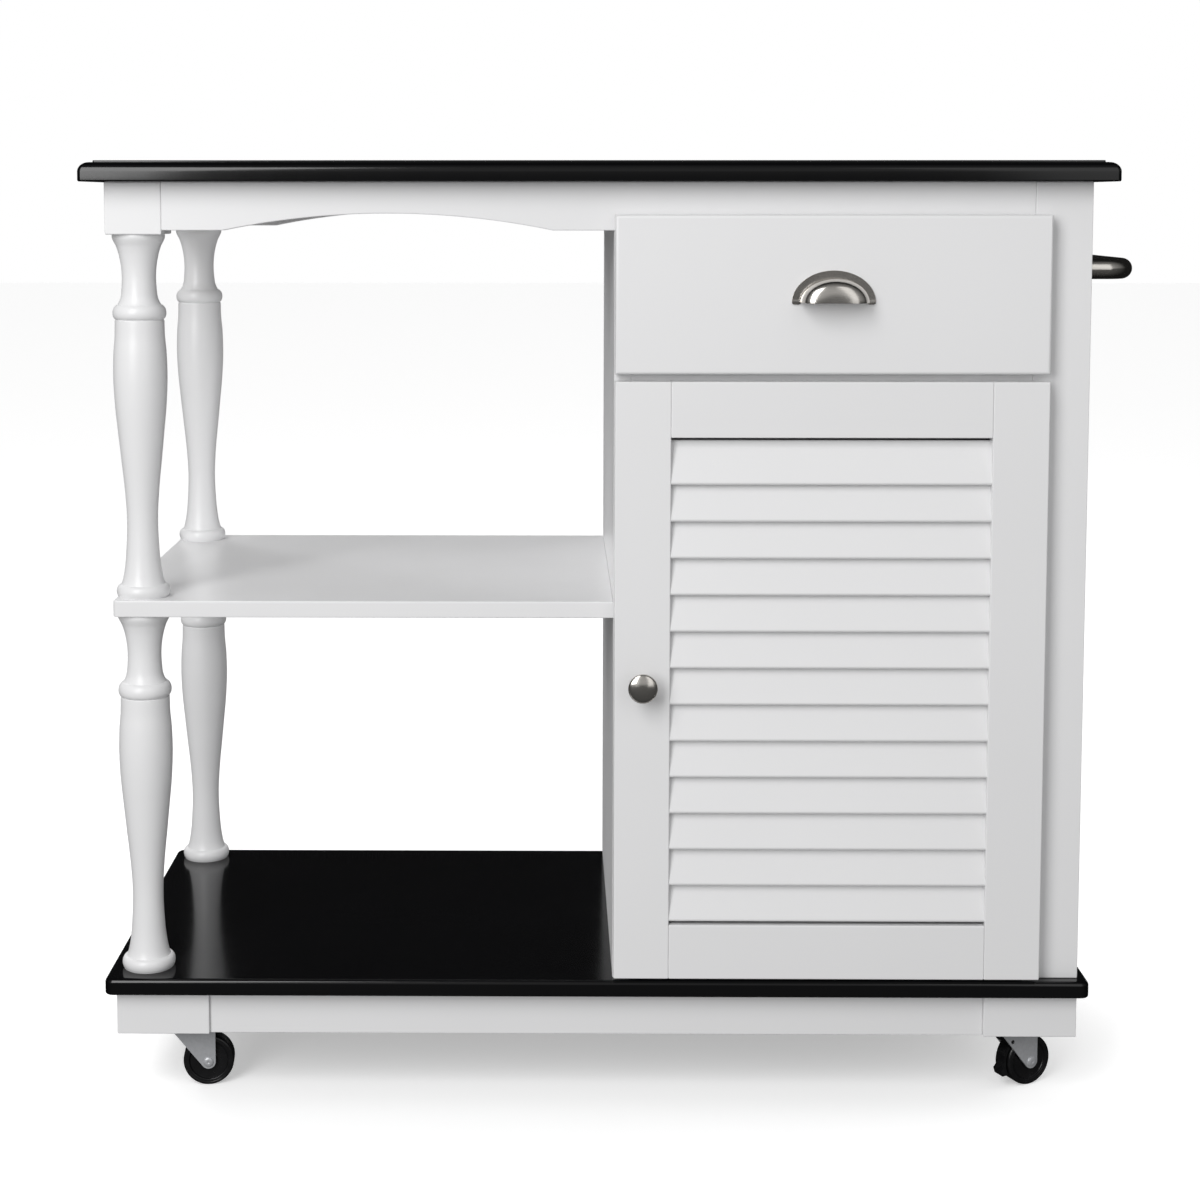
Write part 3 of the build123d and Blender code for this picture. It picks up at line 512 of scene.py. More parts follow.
def flowing(places: Sequence[Point], between: int = 4) -> list[Point]:
    """Points of a smooth line through the given places.

    Args:
        places: (distance along, radius) pairs in order.
        between: how many points make each span.

    Returns:
        The line's points, the given ones among them.
    """
    padded = [places[0], *places, places[-1]]
    line = []
    for before, start, end, after in zip(padded, padded[1:], padded[2:], padded[3:]):
        for step in range(between):
            share = step / between
            line.append(tuple(
                0.5 * (2 * start[k] + (end[k] - before[k]) * share
                       + (2 * before[k] - 5 * start[k] + 4 * end[k] - after[k]) * share ** 2
                       + (3 * start[k] - before[k] - 3 * end[k] + after[k]) * share ** 3)
                for k in range(2)))
    return [*line, places[-1]]


class Work:
    """One mesh on the bench, shaped with edit-mode tools and finished with modifiers."""

    def __init__(self, name: str) -> None:
        """Takes up the primitive that was just added, with its place put in its mesh.

        Args:
            name: the piece's name.
        """
        bpy.ops.object.transform_apply(location=True, rotation=True, scale=True)
        self.thing = bpy.context.object
        self.thing.name = name
        self.thing.data.name = name

    @classmethod
    def box(cls, name: str, low: Vector, high: Vector) -> "Work":
        """A block between two opposite corners.

        Args:
            name: the piece's name.
            low: its lowest corner.
            high: its highest corner.

        Returns:
            The block.
        """
        clear_selection()
        bpy.ops.mesh.primitive_cube_add(size=1, location=(low + high) / 2, scale=high - low)
        return cls(name)

    @classmethod
    def cylinder(cls, name: str, radius: float, length: float, middle: Vector,
                 turn: Triple = (0.0, 0.0, 0.0), sides: int = 48) -> "Work":
        """A closed cylinder, upright unless turned.

        Args:
            name: the piece's name.
            radius: its radius.
            length: its length.
            middle: its middle.
            turn: how it is turned, about X, Y and Z.
            sides: how many faces go round.

        Returns:
            The cylinder.
        """
        clear_selection()
        bpy.ops.mesh.primitive_cylinder_add(vertices=sides, radius=radius, depth=length,
                                            location=middle, rotation=turn)
        return cls(name)

    @classmethod
    def hoop(cls, name: str, radius: float, middle: Vector, turn: Triple,
             sides: int = 40) -> "Work":
        """A ring of edges, level unless turned.

        Args:
            name: the piece's name.
            radius: its radius.
            middle: its middle.
            turn: how it is turned, about X, Y and Z.
            sides: how many edges go round.

        Returns:
            The ring.
        """
        clear_selection()
        bpy.ops.mesh.primitive_circle_add(vertices=sides, radius=radius, location=middle,
                                          rotation=turn, fill_type="NOTHING")
        return cls(name)

    @classmethod
    def turned(cls, name: str, outline: Sequence[Point], sides: int = 72) -> "Work":
        """Spins a half outline round the Z axis at the origin.

        Args:
            name: the piece's name.
            outline: (height, radius) pairs in order, in metres.
            sides: how many faces go round.

        Returns:
            The turned solid, closed where the outline reaches the axis.
        """
        clear_selection()
        bpy.ops.mesh.primitive_plane_add(size=MM)
        work = cls(name)
        work.pick(Level.POINT, everything)
        bpy.ops.mesh.merge(type="CENTER")
        places = [Vector((radius, 0.0, height)) for height, radius in outline]
        bpy.ops.transform.translate(value=places[0])
        for start, end in zip(places, places[1:]):
            bpy.ops.mesh.extrude_vertices_move(TRANSFORM_OT_translate={"value": end - start})
        work.pick(Level.POINT, everything)
        bpy.ops.mesh.spin(steps=sides, angle=2 * math.pi, center=(0, 0, 0), axis=(0, 0, 1))
        return work.tidy()

    def edit(self) -> None:
        """Puts this mesh, and no other, in edit mode."""
        if bpy.context.mode == "EDIT_MESH" and bpy.context.object == self.thing:
            return
        self.hold()
        bpy.ops.object.mode_set(mode="EDIT")

    def hold(self) -> None:
        """Leaves edit mode with this object selected and active."""
        clear_selection()
        self.thing.select_set(True)
        bpy.context.view_layer.objects.active = self.thing

    def pick(self, level: Level, test: Test) -> int:
        """Selects what passes a test, and nothing else.

        Args:
            level: points, edges or faces.
            test: what decides.

        Returns:
            How many were selected.
        """
        self.edit()
        bpy.ops.mesh.select_mode(type=level.value)
        bpy.ops.mesh.select_all(action="DESELECT")
        mesh = bmesh.from_edit_mesh(self.thing.data)
        parts = {Level.POINT: mesh.verts, Level.EDGE: mesh.edges, Level.FACE: mesh.faces}[level]
        chosen = [part for part in parts if test(part)]
        for part in chosen:
            part.select_set(True)
        mesh.select_flush_mode()
        bmesh.update_edit_mesh(self.thing.data)
        return len(chosen)

    def bevel(self, width: float, steps: int, test: Test = everything) -> "Work":
        """Rounds the edges that pass a test.

        Args:
            width: how far the rounding reaches.
            steps: how many faces make it.
            test: what decides.

        Returns:
            This work.
        """
        if self.pick(Level.EDGE, test):
            bpy.ops.mesh.bevel(offset=width, segments=steps, affect="EDGES", clamp_overlap=True)
        return self

    def inset(self, width: float, test: Test) -> "Work":
        """Draws a border inside the faces that pass a test, and keeps the inside selected.

        Args:
            width: the border's width.
            test: what decides.

        Returns:
            This work.
        """
        self.pick(Level.FACE, test)
        bpy.ops.mesh.inset(thickness=width, use_even_offset=True)
        return self

    def pull(self, move: Vector) -> "Work":
        """Extrudes the selection by a move."""
        bpy.ops.mesh.extrude_region_move(TRANSFORM_OT_translate={"value": move})
        return self

    def spin(self, angle: float, centre: Vector, axis: Triple, steps: int = 14) -> "Work":
        """Sweeps the selection round a centre, anticlockwise seen from the axis's tip."""
        bpy.ops.mesh.spin(steps=steps, angle=-angle, center=centre, axis=axis)
        return self

    def cut(self, place: Vector, normal: Triple, drop: bool = False) -> "Work":
        """Cuts the whole mesh with a plane.

        Args:
            place: a point of the plane.
            normal: the plane's normal.
            drop: whether what lies on the normal's side goes.

        Returns:
            This work.
        """
        self.pick(Level.FACE, everything)
        bpy.ops.mesh.bisect(plane_co=place, plane_no=normal, clear_outer=drop)
        return self

    def shift(self, level: Level, test: Test, move: Vector) -> "Work":
        """Moves what passes a test.

        Args:
            level: points, edges or faces.
            test: what decides.
            move: how far, along X, Y and Z.

        Returns:
            This work.
        """
        if self.pick(level, test):
            bpy.ops.transform.translate(value=move)
        return self

    def tidy(self) -> "Work":
        """Joins doubled points and turns every face outwards.

        Returns:
            This work.
        """
        self.pick(Level.POINT, everything)
        bpy.ops.mesh.remove_doubles(threshold=0.002 * MM)
        bpy.ops.mesh.select_all(action="SELECT")
        bpy.ops.mesh.normals_make_consistent(inside=False)
        return self

    def settle(self, turn: Triple = (0.0, 0.0, 0.0), shift: Sequence[float] = (0.0, 0.0, 0.0),
               scale: Sequence[float] = (1.0, 1.0, 1.0)) -> "Work":
        """Scales, turns and moves the whole piece, and puts that in its mesh.

        Args:
            turn: the turn about X, Y and Z.
            shift: the move along X, Y and Z.
            scale: the scale along X, Y and Z.

        Returns:
            This work.
        """
        self.hold()
        self.thing.rotation_euler = turn
        self.thing.location = shift
        self.thing.scale = scale
        bpy.ops.object.transform_apply(location=True, rotation=True, scale=True)
        return self

    def modify(self, kind: str, **settings: Any) -> "Work":
        """Adds a modifier and applies it.

        Args:
            kind: the modifier's type.
            settings: its own properties.

        Returns:
            This work.
        """
        self.hold()
        modifier = self.thing.modifiers.new(kind.title(), kind)
        for key, value in settings.items():
            setattr(modifier, key, value)
        bpy.ops.object.modifier_apply(modifier=modifier.name)
        return self

    def round_off(self, width: float, steps: int = 3, angle: float = 40.0) -> "Work":
        """Rounds every edge that is sharper than an angle, in degrees."""
        return self.modify("BEVEL", width=width, segments=steps, limit_method="ANGLE",
                           angle_limit=math.radians(angle), use_clamp_overlap=True)

    def copy(self, name: str) -> "Work":
        """A second piece of the same shape with its own mesh.

        Args:
            name: the copy's name.

        Returns:
            The copy.
        """
        self.hold()
        bpy.ops.object.duplicate(linked=False)
        return Work(name)

    def take(self, *others: "Work") -> "Work":
        """Joins other works into this one.

        Args:
            others: the works that are used up.

        Returns:
            This work.
        """
        self.hold()
        for other in others:
            other.thing.select_set(True)
        bpy.ops.object.join()
        return self

    def unite(self, other: "Work") -> "Work":
        """Makes one solid of this work and another.

        Args:
            other: the work that is used up.

        Returns:
            This work.
        """
        self.modify("BOOLEAN", operation="UNION", solver="EXACT", object=other.thing)
        bpy.data.objects.remove(other.thing)
        return self

    def finish(self, material: bpy.types.Material, body: str,
               stands_for: Sequence[str], angle: float = 35.0) -> bpy.types.Object:
        """Shades and dresses the piece and puts it on its body.

        Args:
            material: its finish.
            body: the frame's body that carries it.
            stands_for: the CAD nodes that it replaces.
            angle: edges sharper than this many degrees stay crisp.

        Returns:
            The finished object.
        """
        self.hold()
        bpy.ops.object.shade_smooth_by_angle(angle=math.radians(angle))
        self.modify("WEIGHTED_NORMAL", keep_sharp=True, weight=60)
        self.thing.data.materials.clear()
        self.thing.data.materials.append(material)
        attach(self.thing, body)
        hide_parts(*stands_for)
        LOG.info("%s: %d faces on %s", self.thing.name, len(self.thing.data.polygons), body)
        return self.thing


@dataclass
class Shop:
    """What every sub-assembly needs: the finishes."""

    finishes: dict[Slot, bpy.types.Material]

    def dress(self, work: Work, slot: Slot, body: str, *stands_for: str) -> bpy.types.Object:
        """Finishes one work with a slot's material."""
        return work.finish(self.finishes[slot], body, stands_for)


# ---- boards
@dataclass
class Board:
    """A flat member cut to a CAD node's box, with eased edges."""

    node: str
    name: str
    slot: Slot = Slot.WHITE_PAINT
    body: str = Body.CARCASS.value
    ease: float = 1.0 * MM

    def build(self, shop: Shop) -> None:
        """Models and dresses the board.

        Args:
            shop: the finishes.
        """
        low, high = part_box(self.node)
        work = Work.box(self.name, low, high).bevel(self.ease, 3)
        shop.dress(work, self.slot, self.body, self.node)


@dataclass
class Worktop:
    """Black worktop with a stepped and rounded moulding all round."""

    step: float = 1.8 * MM
    cove: float = 9.0 * MM
    border: float = 3.5 * MM
    corner: float = 4.0 * MM
    under: float = 1.5 * MM
    lip: float = 0.7 * MM

    def build(self, shop: Shop) -> None:
        """Models and dresses the worktop.

        Args:
            shop: the finishes.
        """
        low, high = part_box("worktop")
        slab_top = high.z - self.step
        work = Work.box("worktop_board", low, Vector((high.x, high.y, slab_top)))
        work.bevel(self.cove, 9, at(2, slab_top))
        work.bevel(self.corner, 5, self.corner_line(low, high))
        work.bevel(self.under, 3, both(at(2, low.z), lambda edge: len(edge.link_faces) == 2
                                       and any(abs(face.normal.z) < 0.5 for face in edge.link_faces)))
        work.inset(self.border, both(at(2, slab_top), lambda face: face.calc_area() > 0.1))
        work.pull(Vector((0.0, 0.0, self.step)))
        work.tidy()
        work.bevel(self.lip, 3, both(at(2, high.z), lambda edge: any(
            abs(face.normal.z) < 0.5 for face in edge.link_faces)))
        shop.dress(work, Slot.BLACK_PAINT, Body.CARCASS.value, "worktop")

    def corner_line(self, low: Vector, high: Vector) -> Test:
        """A test for the edges that climb each corner and the mitre above it.

        Args:
            low: the board's lowest corner.
            high: its highest corner.

        Returns:
            The test.
        """
        middle = (low + high) / 2

        def test(edge: Any) -> bool:
            """Whether the edge climbs and both its ends lie on a corner's mitre.

            Args:
                edge: the edge.

            Returns:
                True if it does.
            """
            heights = []
            for point in edge.verts:
                side = high.x - middle.x - abs(point.co.x - middle.x)
                front = high.y - middle.y - abs(point.co.y - middle.y)
                if abs(side - front) > 0.05 * MM or side > self.cove + 0.5 * MM:
                    return False
                heights.append(point.co.z)
            return abs(heights[0] - heights[1]) > 0.01 * MM
        return test


@dataclass
class RoundedBoard:
    """A board with rounded corners in plan and a rounded top edge."""

    node: str
    name: str
    slot: Slot
    corner: float
    upper: float
    lower: float
    left_only: bool = False

    def build(self, shop: Shop) -> None:
        """Models and dresses the board.

        Args:
            shop: the finishes.
        """
        low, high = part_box(self.node)
        work = Work.box(self.name, low, high)
        corners = both(along(2), at(0, low.x)) if self.left_only else along(2)
        work.bevel(self.corner, 7, corners)
        work.bevel(self.upper, 5, at(2, high.z))
        work.bevel(self.lower, 3, at(2, low.z))
        shop.dress(work, self.slot, Body.CARCASS.value, self.node)


@dataclass
class ArchedApron:
    """Long apron whose lower edge rises in a shallow arch over the open bays."""

    node: str
    name: str
    end_gap: float = 58.0 * MM
    rise: float = 16.0 * MM
    columns: int = 40
    ease: float = 0.9 * MM

    def build(self, shop: Shop) -> None:
        """Models and dresses the apron.

        Args:
            shop: the finishes.
        """
        low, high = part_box(self.node)
        start = low.x + self.end_gap
        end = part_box("left_cabinet_panel")[0].x - self.end_gap
        half = (end - start) / 2
        radius = (half ** 2 + self.rise ** 2) / (2 * self.rise)
        work = Work.box(self.name, low, high)
        places = [start + (end - start) * step / self.columns for step in range(self.columns + 1)]
        for x in places:
            work.cut(Vector((x, 0.0, 0.0)), (1.0, 0.0, 0.0))
        for x in places[1:-1]:
            lift = math.sqrt(radius ** 2 - (x - start - half) ** 2) - (radius - self.rise)
            work.shift(Level.POINT, both(at(0, x), at(2, low.z)), Vector((0.0, 0.0, lift)))
        work.round_off(self.ease)
        shop.dress(work, Slot.WHITE_PAINT, Body.CARCASS.value, self.node)


# ---- turned legs
@dataclass
class TurnedLeg:
    """A turned leg length, with or without the square block above it."""

    node: str
    name: str
    full_length: float = 351.0 * MM
    block_height: float = 50.0 * MM
    block_ease: float = 1.2 * MM

    COVE = ((0.0, 25.0), (1.2, 25.2), (4.0, 24.9), (7.5, 23.3), (11.0, 21.5), (16.0, 19.8),
            (21.0, 18.5), (30.0, 16.9), (40.0, 16.2), (50.0, 16.5), (59.0, 17.4), (64.0, 18.9),
            (67.5, 20.8))
    BEAD = ((67.6, 21.6), (69.0, 23.2), (71.0, 24.6), (73.5, 25.4), (76.0, 25.6), (78.5, 25.2),
            (80.5, 24.2), (81.6, 23.0))
    BELLY = ((81.8, 22.6), (82.6, 23.3), (84.0, 23.6), (98.0, 23.9), (113.0, 25.2), (131.0, 25.8),
             (145.0, 25.6), (159.0, 24.9), (171.0, 24.0), (183.0, 22.8), (194.0, 21.7),
             (206.0, 20.5), (218.0, 19.3), (229.0, 18.1), (241.0, 16.9), (253.0, 15.9),
             (268.0, 15.0), (280.0, 14.8), (290.0, 15.0), (300.0, 15.5), (312.0, 16.3),
             (322.0, 17.4), (331.0, 18.9), (336.0, 20.2), (338.6, 21.3))
    FOOT = ((338.7, 22.0), (340.0, 23.9), (342.0, 25.1), (345.0, 25.7), (348.0, 25.3),
            (350.0, 24.5), (351.0, 24.0))

    def outline(self, top: float, bottom: float) -> list[Point]:
        """The half outline, from the axis at the top to the axis at the bottom.

        Args:
            top: the turning's upper end.
            bottom: its lower end.

        Returns:
            (height, radius) pairs in order.
        """
        scale = (top - bottom) / self.full_length
        line = [(top, 0.0)]
        for run in (self.COVE, self.BEAD, self.BELLY, self.FOOT):
            line += [(top - drop * MM * scale, radius * MM) for drop, radius in flowing(run, 3)]
        return [*line, (bottom, 0.0)]

    def build(self, shop: Shop) -> None:
        """Models and dresses the leg.

        Args:
            shop: the finishes.
        """
        low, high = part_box(self.node)
        middle = (low + high) / 2
        has_block = "upper" in self.node
        top = high.z - self.block_height if has_block else high.z
        work = Work.turned(self.name, self.outline(top, low.z))
        work.settle(shift=(middle.x, middle.y, 0.0))
        if has_block:
            head = Work.box(self.name + "_head", Vector((low.x, low.y, top)), high)
            work.take(head.bevel(self.block_ease, 3))
        shop.dress(work, Slot.WHITE_PAINT, Body.CARCASS.value, self.node)


# ---- skirt
@dataclass
class Skirt:
    """Corner blocks under the base board and the rails between them."""

    block_length: float = 90.0 * MM
    block_depth: float = 70.0 * MM
    ease: float = 1.0 * MM

    def build(self, shop: Shop) -> None:
        """Models and dresses the skirt.

        Args:
            shop: the finishes.
        """
        low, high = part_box("corner_blocks")
        size = Vector((self.block_length, self.block_depth, high.z - low.z))
        first = Work.box("skirt_corner_blocks", low, low + size).bevel(self.ease, 3)
        span = high - low - size
        moves = ((span.x, 0.0, 0.0), (0.0, span.y, 0.0), (span.x, span.y, 0.0))
        copies = [first.copy("corner_block_copy").settle(shift=move) for move in moves]
        shop.dress(first.take(*copies), Slot.WHITE_PAINT, Body.CARCASS.value, "corner_blocks")
        for side in ("front", "rear", "left", "right"):
            Board(f"{side}_skirt", f"{side}_skirt_rail", ease=0.8 * MM).build(shop)


# ---- door and drawer
@dataclass
class DrawerFront:
    """Plain drawer front with a rounded border."""

    border: float = 3.2 * MM
    ease: float = 0.7 * MM

    def build(self, shop: Shop) -> None:
        """Models and dresses the front.

        Args:
            shop: the finishes.
        """
        low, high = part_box("drawer_front")
        work = Work.box("plain_drawer_front", low, high)
        work.bevel(self.border, 5, at(1, low.y))
        work.bevel(self.ease, 2, at(1, high.y))
        shop.dress(work, Slot.WHITE_PAINT, Body.DRAWER.value, "drawer_front")


@dataclass
class LouvredDoor:
    """Door of two stiles, two rails and slats let into the stiles."""

    member_ease: float = 1.1 * MM
    slat_count: int = 13
    slat_width: float = 43.0 * MM
    slat_thickness: float = 6.0 * MM
    slat_round: float = 2.4 * MM
    slat_tilt: float = 14.0
    end_gap: float = 2.5 * MM

    def build(self, shop: Shop) -> None:
        """Models and dresses the door.

        Args:
            shop: the finishes.
        """
        for node in ("door_left_stile", "door_right_stile", "door_top_rail", "door_bottom_rail"):
            Board(node, node + "_board", body=Body.DOOR.value, ease=self.member_ease).build(shop)
        self.build_slats(shop)

    def build_slats(self, shop: Shop) -> None:
        """Models one slat and copies it up the opening.

        Args:
            shop: the finishes.
        """
        low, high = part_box("louvre_slats")
        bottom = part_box("door_bottom_rail")[1].z
        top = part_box("door_top_rail")[0].z
        tilt = math.radians(self.slat_tilt)
        rise = self.slat_width * math.cos(tilt) + self.slat_thickness * math.sin(tilt)
        first = bottom + self.end_gap + rise / 2
        pitch = (top - self.end_gap - rise / 2 - first) / (self.slat_count - 1)
        reach = Vector((0.0, self.slat_thickness / 2, self.slat_width / 2))
        slat = Work.box("louvre_slat_set", Vector((low.x, 0.0, 0.0)) - reach,
                        Vector((high.x, 0.0, 0.0)) + reach)
        slat.bevel(self.slat_round, 4, along(0))
        slat.settle(turn=(-tilt, 0.0, 0.0)).settle(shift=(0.0, (low.y + high.y) / 2, first))
        copies = [slat.copy("slat_copy").settle(shift=(0.0, 0.0, pitch * number))
                  for number in range(1, self.slat_count)]
        shop.dress(slat.take(*copies), Slot.WHITE_PAINT, Body.DOOR.value, "louvre_slats")


@dataclass
class DoorKnob:
    """Round knob: a waisted neck and a slightly domed face inside a fine rim."""

    OUTLINE = (((0.0, 7.7), (0.6, 7.8), (1.4, 7.2), (4.0, 6.0), (7.5, 5.6), (10.5, 6.1),
                (13.0, 7.6), (15.5, 10.4), (17.4, 12.8), (18.6, 13.7), (19.6, 14.0)),
               ((19.7, 14.0), (21.2, 14.0), (22.1, 13.8), (22.6, 13.2)),
               ((22.5, 12.8), (22.7, 12.4), (23.4, 10.6), (24.2, 7.5), (24.8, 4.0), (25.0, 0.0)))

    def build(self, shop: Shop) -> None:
        """Models and dresses the knob.

        Args:
            shop: the finishes.
        """
        low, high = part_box("door_knob")
        line = [(0.0, 0.0)]
        for run in self.OUTLINE:
            line += [(height * MM, radius * MM) for height, radius in flowing(run, 3)]
        work = Work.turned("round_door_knob", line)
        work.settle(turn=(math.pi / 2, 0.0, 0.0))
        work.settle(shift=((low.x + high.x) / 2, high.y, (low.z + high.z) / 2))
        shop.dress(work, Slot.SATIN_NICKEL, Body.DOOR.value, "door_knob")


@dataclass
class CupPull:
    """Cup pull: a full, rounded bowl, open below, inside a flat arched flange with round feet."""

    flange: float = 8.3 * MM
    metal: float = 1.5 * MM
    foot: float = 2.0 * MM
    ease: float = 0.45 * MM
    fullness: float = 4.0
    rings: int = 22

    FOOT_STEPS = ((0.32, 0.985), (0.28, 0.90), (0.20, 0.76), (0.13, 0.55), (0.07, 0.30))

    def bowl_outline(self) -> list[Point]:
        """Half outline of a bowl one unit deep and one unit in radius.

        Returns:
            (height, radius) pairs in order.
        """
        power = 2 / self.fullness
        turns = [math.pi / 2 * step / self.rings for step in range(self.rings + 1)]
        return [(math.sin(turn) ** power, max(math.cos(turn), 0.0) ** power) for turn in turns]

    def build(self, shop: Shop) -> None:
        """Models and dresses the pull.

        Args:
            shop: the finishes.
        """
        low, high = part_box("cup_pull")
        centre = Vector(((low.x + high.x) / 2, high.y, low.z + self.foot))
        radii = Vector(((high.x - low.x) / 2 - self.flange - self.metal,
                        high.y - low.y - self.metal, high.z - centre.z - self.flange - self.metal))
        work = Work.turned("arched_cup_pull", self.bowl_outline(), 96)
        work.settle(turn=(math.pi / 2, 0.0, 0.0)).settle(scale=radii, shift=centre)
        work.cut(centre, (0.0, 0.0, -1.0), drop=True)
        work.pick(Level.EDGE, both(at(1, centre.y), lambda edge: edge.is_boundary))
        work.pull(Vector((0.0, 0.0, 0.0)))
        width = self.flange
        bpy.ops.transform.resize(value=(1 + width / radii.x, 1.0, 1 + width / radii.z),
                                 center_override=centre)
        for side in (-1, 1):
            self.round_foot(work, centre, Vector((side * (radii.x + width / 2), 0.0, 0.0)))
        work.tidy()
        work.settle(shift=-centre)
        work.modify("SOLIDIFY", thickness=self.metal, offset=1.0, use_even_offset=True)
        work.settle(shift=centre)
        work.round_off(self.ease, 3, 35.0)
        shop.dress(work, Slot.SATIN_NICKEL, Body.DRAWER.value, "cup_pull")

    def round_foot(self, work: Work, centre: Vector, reach: Vector) -> None:
        """Rounds off one end of the flange below the bowl.

        Args:
            work: the pull so far.
            centre: the middle of the bowl's lower edge.
            reach: from the centre to the middle of this foot.
        """
        level, width = centre.z, 1.0
        for share, next_width in self.FOOT_STEPS:
            drop = self.foot * share
            work.pick(Level.EDGE, both(at(1, centre.y), at(2, level), lambda edge: (
                edge.is_boundary and (edge.verts[0].co.x - centre.x) * reach.x > 0)))
            work.pull(Vector((0.0, 0.0, -drop)))
            bpy.ops.transform.resize(value=(next_width / width, 1.0, 1.0),
                                     center_override=centre + reach)
            level, width = level - drop, next_width


# ---- towel bar
@dataclass
class TowelBar:
    """Round bar bent to a long U that stands out from the right-hand side."""

    bend: float = 21.0 * MM
    sides: int = 40

    def build(self, shop: Shop) -> None:
        """Models and dresses the bar.

        Args:
            shop: the finishes.
        """
        low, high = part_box("towel_bar")
        radius = (high.z - low.z) / 2
        level = (low.z + high.z) / 2
        front, rear = low.y + radius, high.y - radius
        out = high.x - radius
        quarter = math.pi / 2
        work = Work.hoop("bent_towel_bar", radius, Vector((low.x, front, level)),
                         (0.0, quarter, 0.0), self.sides)
        work.pick(Level.EDGE, everything)
        work.pull(Vector((out - self.bend - low.x, 0.0, 0.0)))
        work.spin(quarter, Vector((out - self.bend, front + self.bend, level)), (0.0, 0.0, 1.0))
        work.pull(Vector((0.0, rear - front - 2 * self.bend, 0.0)))
        work.spin(quarter, Vector((out - self.bend, rear - self.bend, level)), (0.0, 0.0, 1.0))
        work.pull(Vector((low.x - out + self.bend, 0.0, 0.0)))
        work.pick(Level.EDGE, lambda edge: edge.is_boundary)
        bpy.ops.mesh.edge_face_add()
        work.tidy()
        shop.dress(work, Slot.SATIN_NICKEL, Body.CARCASS.value, "towel_bar")


